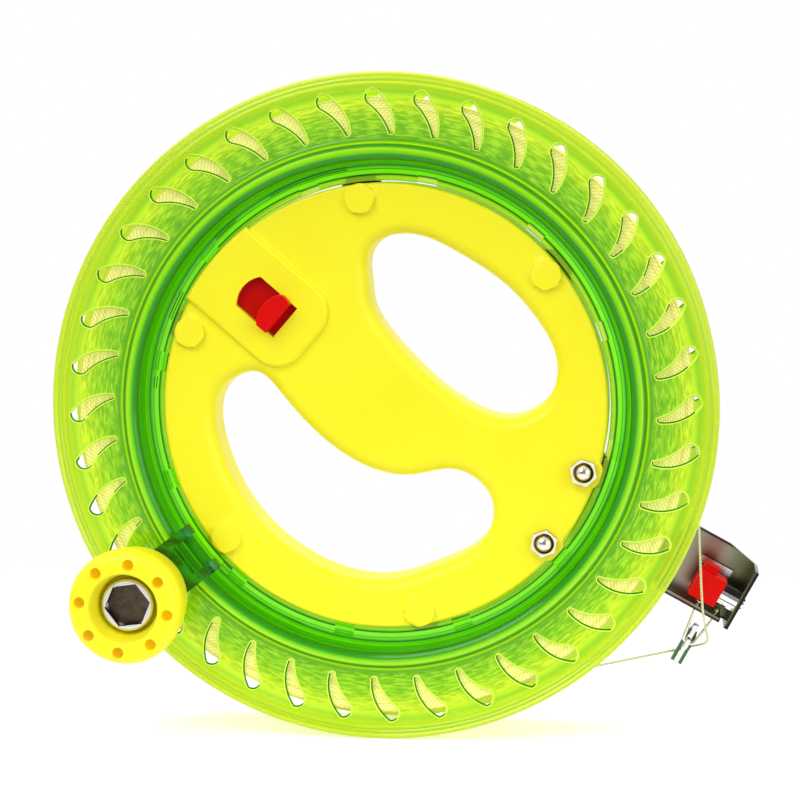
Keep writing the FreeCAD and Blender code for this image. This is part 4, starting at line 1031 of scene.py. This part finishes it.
def slot_lips():
    """Raised lips round the slots, in the frame of a half with its face towards +Y."""
    work = bmesh.new()
    rings = []
    for growth, height in LIP_SECTION:
        points = []
        for across, along in slot_points(growth):
            points.append((along, flange_face(math.hypot(across, along)) + height, -across))
        rings.append(outline_wire(work, points)[1])
    for number, (inner, outer) in enumerate(zip(rings, rings[1:])):
        band = bmesh.ops.bridge_loops(work, edges=inner + outer)
        for face in band["faces"]:
            face.material_index = int(number < LEDGE_BANDS)
    bmesh.ops.recalc_face_normals(work, faces=work.faces)
    return repeated(work, SLOT_COUNT)


def shade_ledges(work):
    """Keeps the second material, the painted shade, on the ledges that look the shaded way."""
    for face in work.faces:
        slope = Vector((face.normal.x, face.normal.z))
        dark = slope.dot(DARK_WAY) > DARK_SLOPE
        face.material_index = int(face.material_index == 1 and dark)


def face_front(work):
    """Turns a half over, so that its outer face looks to the front."""
    over = Matrix.Rotation(math.pi, 3, "Z")
    bmesh.ops.rotate(work, cent=ORIGIN, matrix=over, verts=work.verts)
    return work


def add_slot_lips(work, name, angle):
    shade_ledges(work)
    lips = add_piece(work, name, "wheel", LIP_HIGHLIGHT, angle=angle)
    lips.data.materials.append(LIME_SHADE)


def add_wheel():
    half = carved(lathe(WHEEL_SECTION, rounding=WHEEL_ROUNDING), slot_cutters())
    rear = half.copy()
    half = carved(half, repeated(block(*NOTCH_CORNERS), NOTCH_COUNT, 180 - LOCK_ANGLE))
    front_lips = slot_lips()
    rear_lips = front_lips.copy()
    add_piece(
        face_front(half), "front_wheel_half", "wheel", LIME, ["spool_front_half"]
    )
    add_slot_lips(face_front(front_lips), "front_slot_lips", 0)
    add_piece(
        rear, "rear_wheel_half", "wheel", LIME, ["spool_rear_half"], REAR_PHASE
    )
    add_slot_lips(rear_lips, "rear_slot_lips", REAR_PHASE)


def mould_line(radius, start, end):
    """Raised line round part of a circle, between two angles in degrees."""
    work = bmesh.new()
    section = [
        (radius, MARK_FACE, 0),
        (radius + MARK_WIDTH, MARK_FACE, 0),
        (radius + MARK_WIDTH / 2, MARK_FACE - MARK_HEIGHT, 0),
    ]
    _corners, edges = outline_wire(work, section)
    bmesh.ops.contextual_create(work, geom=edges)
    bmesh.ops.spin(
        work,
        geom=work.faces[:],
        cent=ORIGIN,
        axis=WHEEL_AXIS,
        angle=math.radians(end - start),
        steps=MARK_STEPS,
    )
    bmesh.ops.recalc_face_normals(work, faces=work.faces)
    return turned(work, start)


def add_mould_marks():
    """Short double lines left by the mould on the ring next to the lip."""
    lines = []
    for radius, start, end in MOULD_MARKS:
        lines += [mould_line(radius + offset, start, end) for offset in (0, MARK_GAP)]
    add_piece(joined(lines), "mould_marks", "wheel", LIME_SHADE)


# Innermost radius of the wound line, radius of the hub's wall, and half the width there, from
# where the wound line widens with the flange.
PACK_INNER = 87.35
HUB_WALL = 87.2
PACK_HALF_WIDTH = 12.5
# Turns side by side at the outside, depth of the grooves between turns, and the flat share of
# each turn.
PACK_LAYERS = 34
SIDE_GROOVE = 0.22
OUTER_GROOVE = 0.2
TURN_FLAT = (0.3, 0.7)


def wound_section():
    """Section of the wound line with a ridge for every turn."""
    outer = PACK_RADIUS - PACK_GAP
    turns = int((outer - PACK_INNER) / LINE_DIAMETER)
    pitch = (outer - PACK_INNER) / turns
    flat_start, flat_end = TURN_FLAT
    near = []
    for turn in range(turns):
        radius = PACK_INNER + turn * pitch
        depth = PACK_HALF_WIDTH + FLANGE_LEAN * (radius - HUB_WALL)
        near.append((radius, depth - SIDE_GROOVE))
        near += [(radius + pitch * flat_start, depth), (radius + pitch * flat_end, depth)]
    half_width = near[-1][1]
    rung = 2 * half_width / PACK_LAYERS
    top = []
    for layer in range(PACK_LAYERS):
        depth = half_width - layer * rung
        top.append((outer - OUTER_GROOVE, depth))
        top += [(outer, depth - rung * flat_start), (outer, depth - rung * flat_end)]
    far = [(radius, -depth) for radius, depth in reversed(near)]
    return near + top + far


def add_wound_line():
    work = lathe(wound_section(), steps=200)
    add_piece(work, "wound_line", "wheel", WOUND, ["line_pack"], sharp=80)


add_wheel()
add_mould_marks()
add_wound_line()


# ---------------------------------------------------------------- grip

def add_grip():
    for node, name in (("grip_front_shell", "front_grip"), ("grip_rear_shell", "rear_grip")):
        add_piece(cad_copy(node), name, "grip", YELLOW, [node])


add_grip()


# ---------------------------------------------------------------- lock

# Distance of the tab's straight end from the wheel's axis.
TAB_START = 45.25
# Outline of the tab (outward, clockwise), and its tiers (depth, share of the full size).
TAB_OUTLINE = [
    (0, -6.0),
    (4.0, -6.2),
    (5.6, -4.6),
    (6.6, -1.6),
    (6.7, 1.4),
    (6.2, 4.2),
    (5.0, 6.2),
    (3.6, 6.9),
    (1.6, 6.8),
    (0, 6.0),
]
TAB_TIERS = [(-17.25, 0.95), (-16.9, 1.0), (-13.6, 1.0), (-13.3, 0.85), (-9.6, 0.85)]


def add_thumb_tab():
    """D-shaped tab that the thumb pushes outward."""
    work = bmesh.new()
    tiers = []
    for depth, share in TAB_TIERS:
        points = [
            (TAB_START + out * share, depth, -across * share) for out, across in TAB_OUTLINE
        ]
        tiers.append(outline_wire(work, points)[1])
    for upper, lower in zip(tiers, tiers[1:]):
        bmesh.ops.bridge_loops(work, edges=upper + lower)
    bmesh.ops.contextual_create(work, geom=tiers[0])
    bmesh.ops.contextual_create(work, geom=tiers[-1])
    bmesh.ops.recalc_face_normals(work, faces=work.faces)
    add_piece(work, "lock_thumb_tab", "lock", RED, angle=LOCK_ANGLE)


add_thumb_tab()


# ---------------------------------------------------------------- crank

# Sections of the knob and of the screw that carries it: distance from the knob's axis, depth.
KNOB_SECTION = [
    (5.06, -24.2),
    (16.5, -24.2),
    (16.9, -24.4),
    (17.0, -24.8),
    (17.6, -30.0),
    (18.3, -35.6),
    (18.7, -38.6),
    (18.8, -40.6),
    (18.75, -42.2),
    (18.3, -43.8),
    (17.4, -45.1),
    (16.2, -45.9),
    (14.8, -46.2),
    (12.4, -46.2),
    (11.5, -46.0),
    (11.1, -45.2),
    (9.4, -34.4),
    (9.3, -33.8),
    (5.06, -33.8),
]
HEAD_SECTION = [
    (0, -39.5),
    (8.0, -39.5),
    (8.5, -39.2),
    (8.7, -38.7),
    (8.7, -34.6),
    (8.4, -34.1),
    (5.0, -34.1),
    (5.0, -18.9),
    (0, -18.9),
]

# Holes in the knob's face: how many, the circle they lie on, their radius and cutter's depths.
HOLE_COUNT = 8
HOLE_CIRCLE = 14.5
HOLE_RADIUS = 1.85
HOLE_SPAN = (-60, -20)
# How far a hole's wall may seem from its circle, and how far it may lean.
WALL_SLACK = 0.05
WALL_LEAN = 0.3
# Hexagon socket of the screw: size across flats, and the depths it is cut between.
SOCKET_FLATS = 13.2
SOCKET_SPAN = (-41, -35.9)


def hexagon(flats, low, high):
    """Hexagonal prism along the depth axis, between two depths."""
    work = bmesh.new()
    corner = flats / math.sqrt(3)
    bmesh.ops.create_cone(
        work, cap_ends=True, segments=6, radius1=corner, radius2=corner, depth=high - low
    )
    upright = Matrix.Rotation(math.pi / 2, 3, "X")
    bmesh.ops.rotate(work, cent=ORIGIN, matrix=upright, verts=work.verts)
    return moved(work, (0, (low + high) / 2, 0))


def in_hole(face):
    """Whether a face of the knob is the wall of one of its holes."""
    middle = face.calc_center_median()
    step = 2 * math.pi / HOLE_COUNT
    turn = round(math.atan2(middle.z, middle.x) / step) * step
    hole = Vector((math.cos(turn), 0, math.sin(turn))) * HOLE_CIRCLE
    aside = math.hypot(middle.x - hole.x, middle.z - hole.z)
    return aside < HOLE_RADIUS + WALL_SLACK and abs(face.normal.y) < WALL_LEAN


def add_knob():
    near, far = HOLE_SPAN
    hole = lathe([(0, near), (HOLE_RADIUS, near), (HOLE_RADIUS, far), (0, far)], steps=24)
    holes = repeated(moved(hole, (HOLE_CIRCLE, 0, 0)), HOLE_COUNT)
    body = carved(lathe(KNOB_SECTION, steps=96, rounding=0.25), holes)
    # Hole walls take the second material: painted shade and glow.
    for face in body.faces:
        face.material_index = int(in_hole(face))
    moved(body, (KNOB_ALONG, 0, 0))
    knob = add_piece(
        body, "knob_grip", "knob", YELLOW, ["crank_knob"], CRANK_ANGLE
    )
    knob.data.materials.append(HOLE_SHADE_AND_GLOW)
    socket = hexagon(SOCKET_FLATS, *SOCKET_SPAN)
    head = carved(lathe(HEAD_SECTION, steps=72, rounding=0.1), socket)
    moved(head, (KNOB_ALONG, 0, 0))
    add_piece(
        head, "knob_screw", "crank", SCREW_STEEL, ["knob_axle"], CRANK_ANGLE
    )


add_knob()
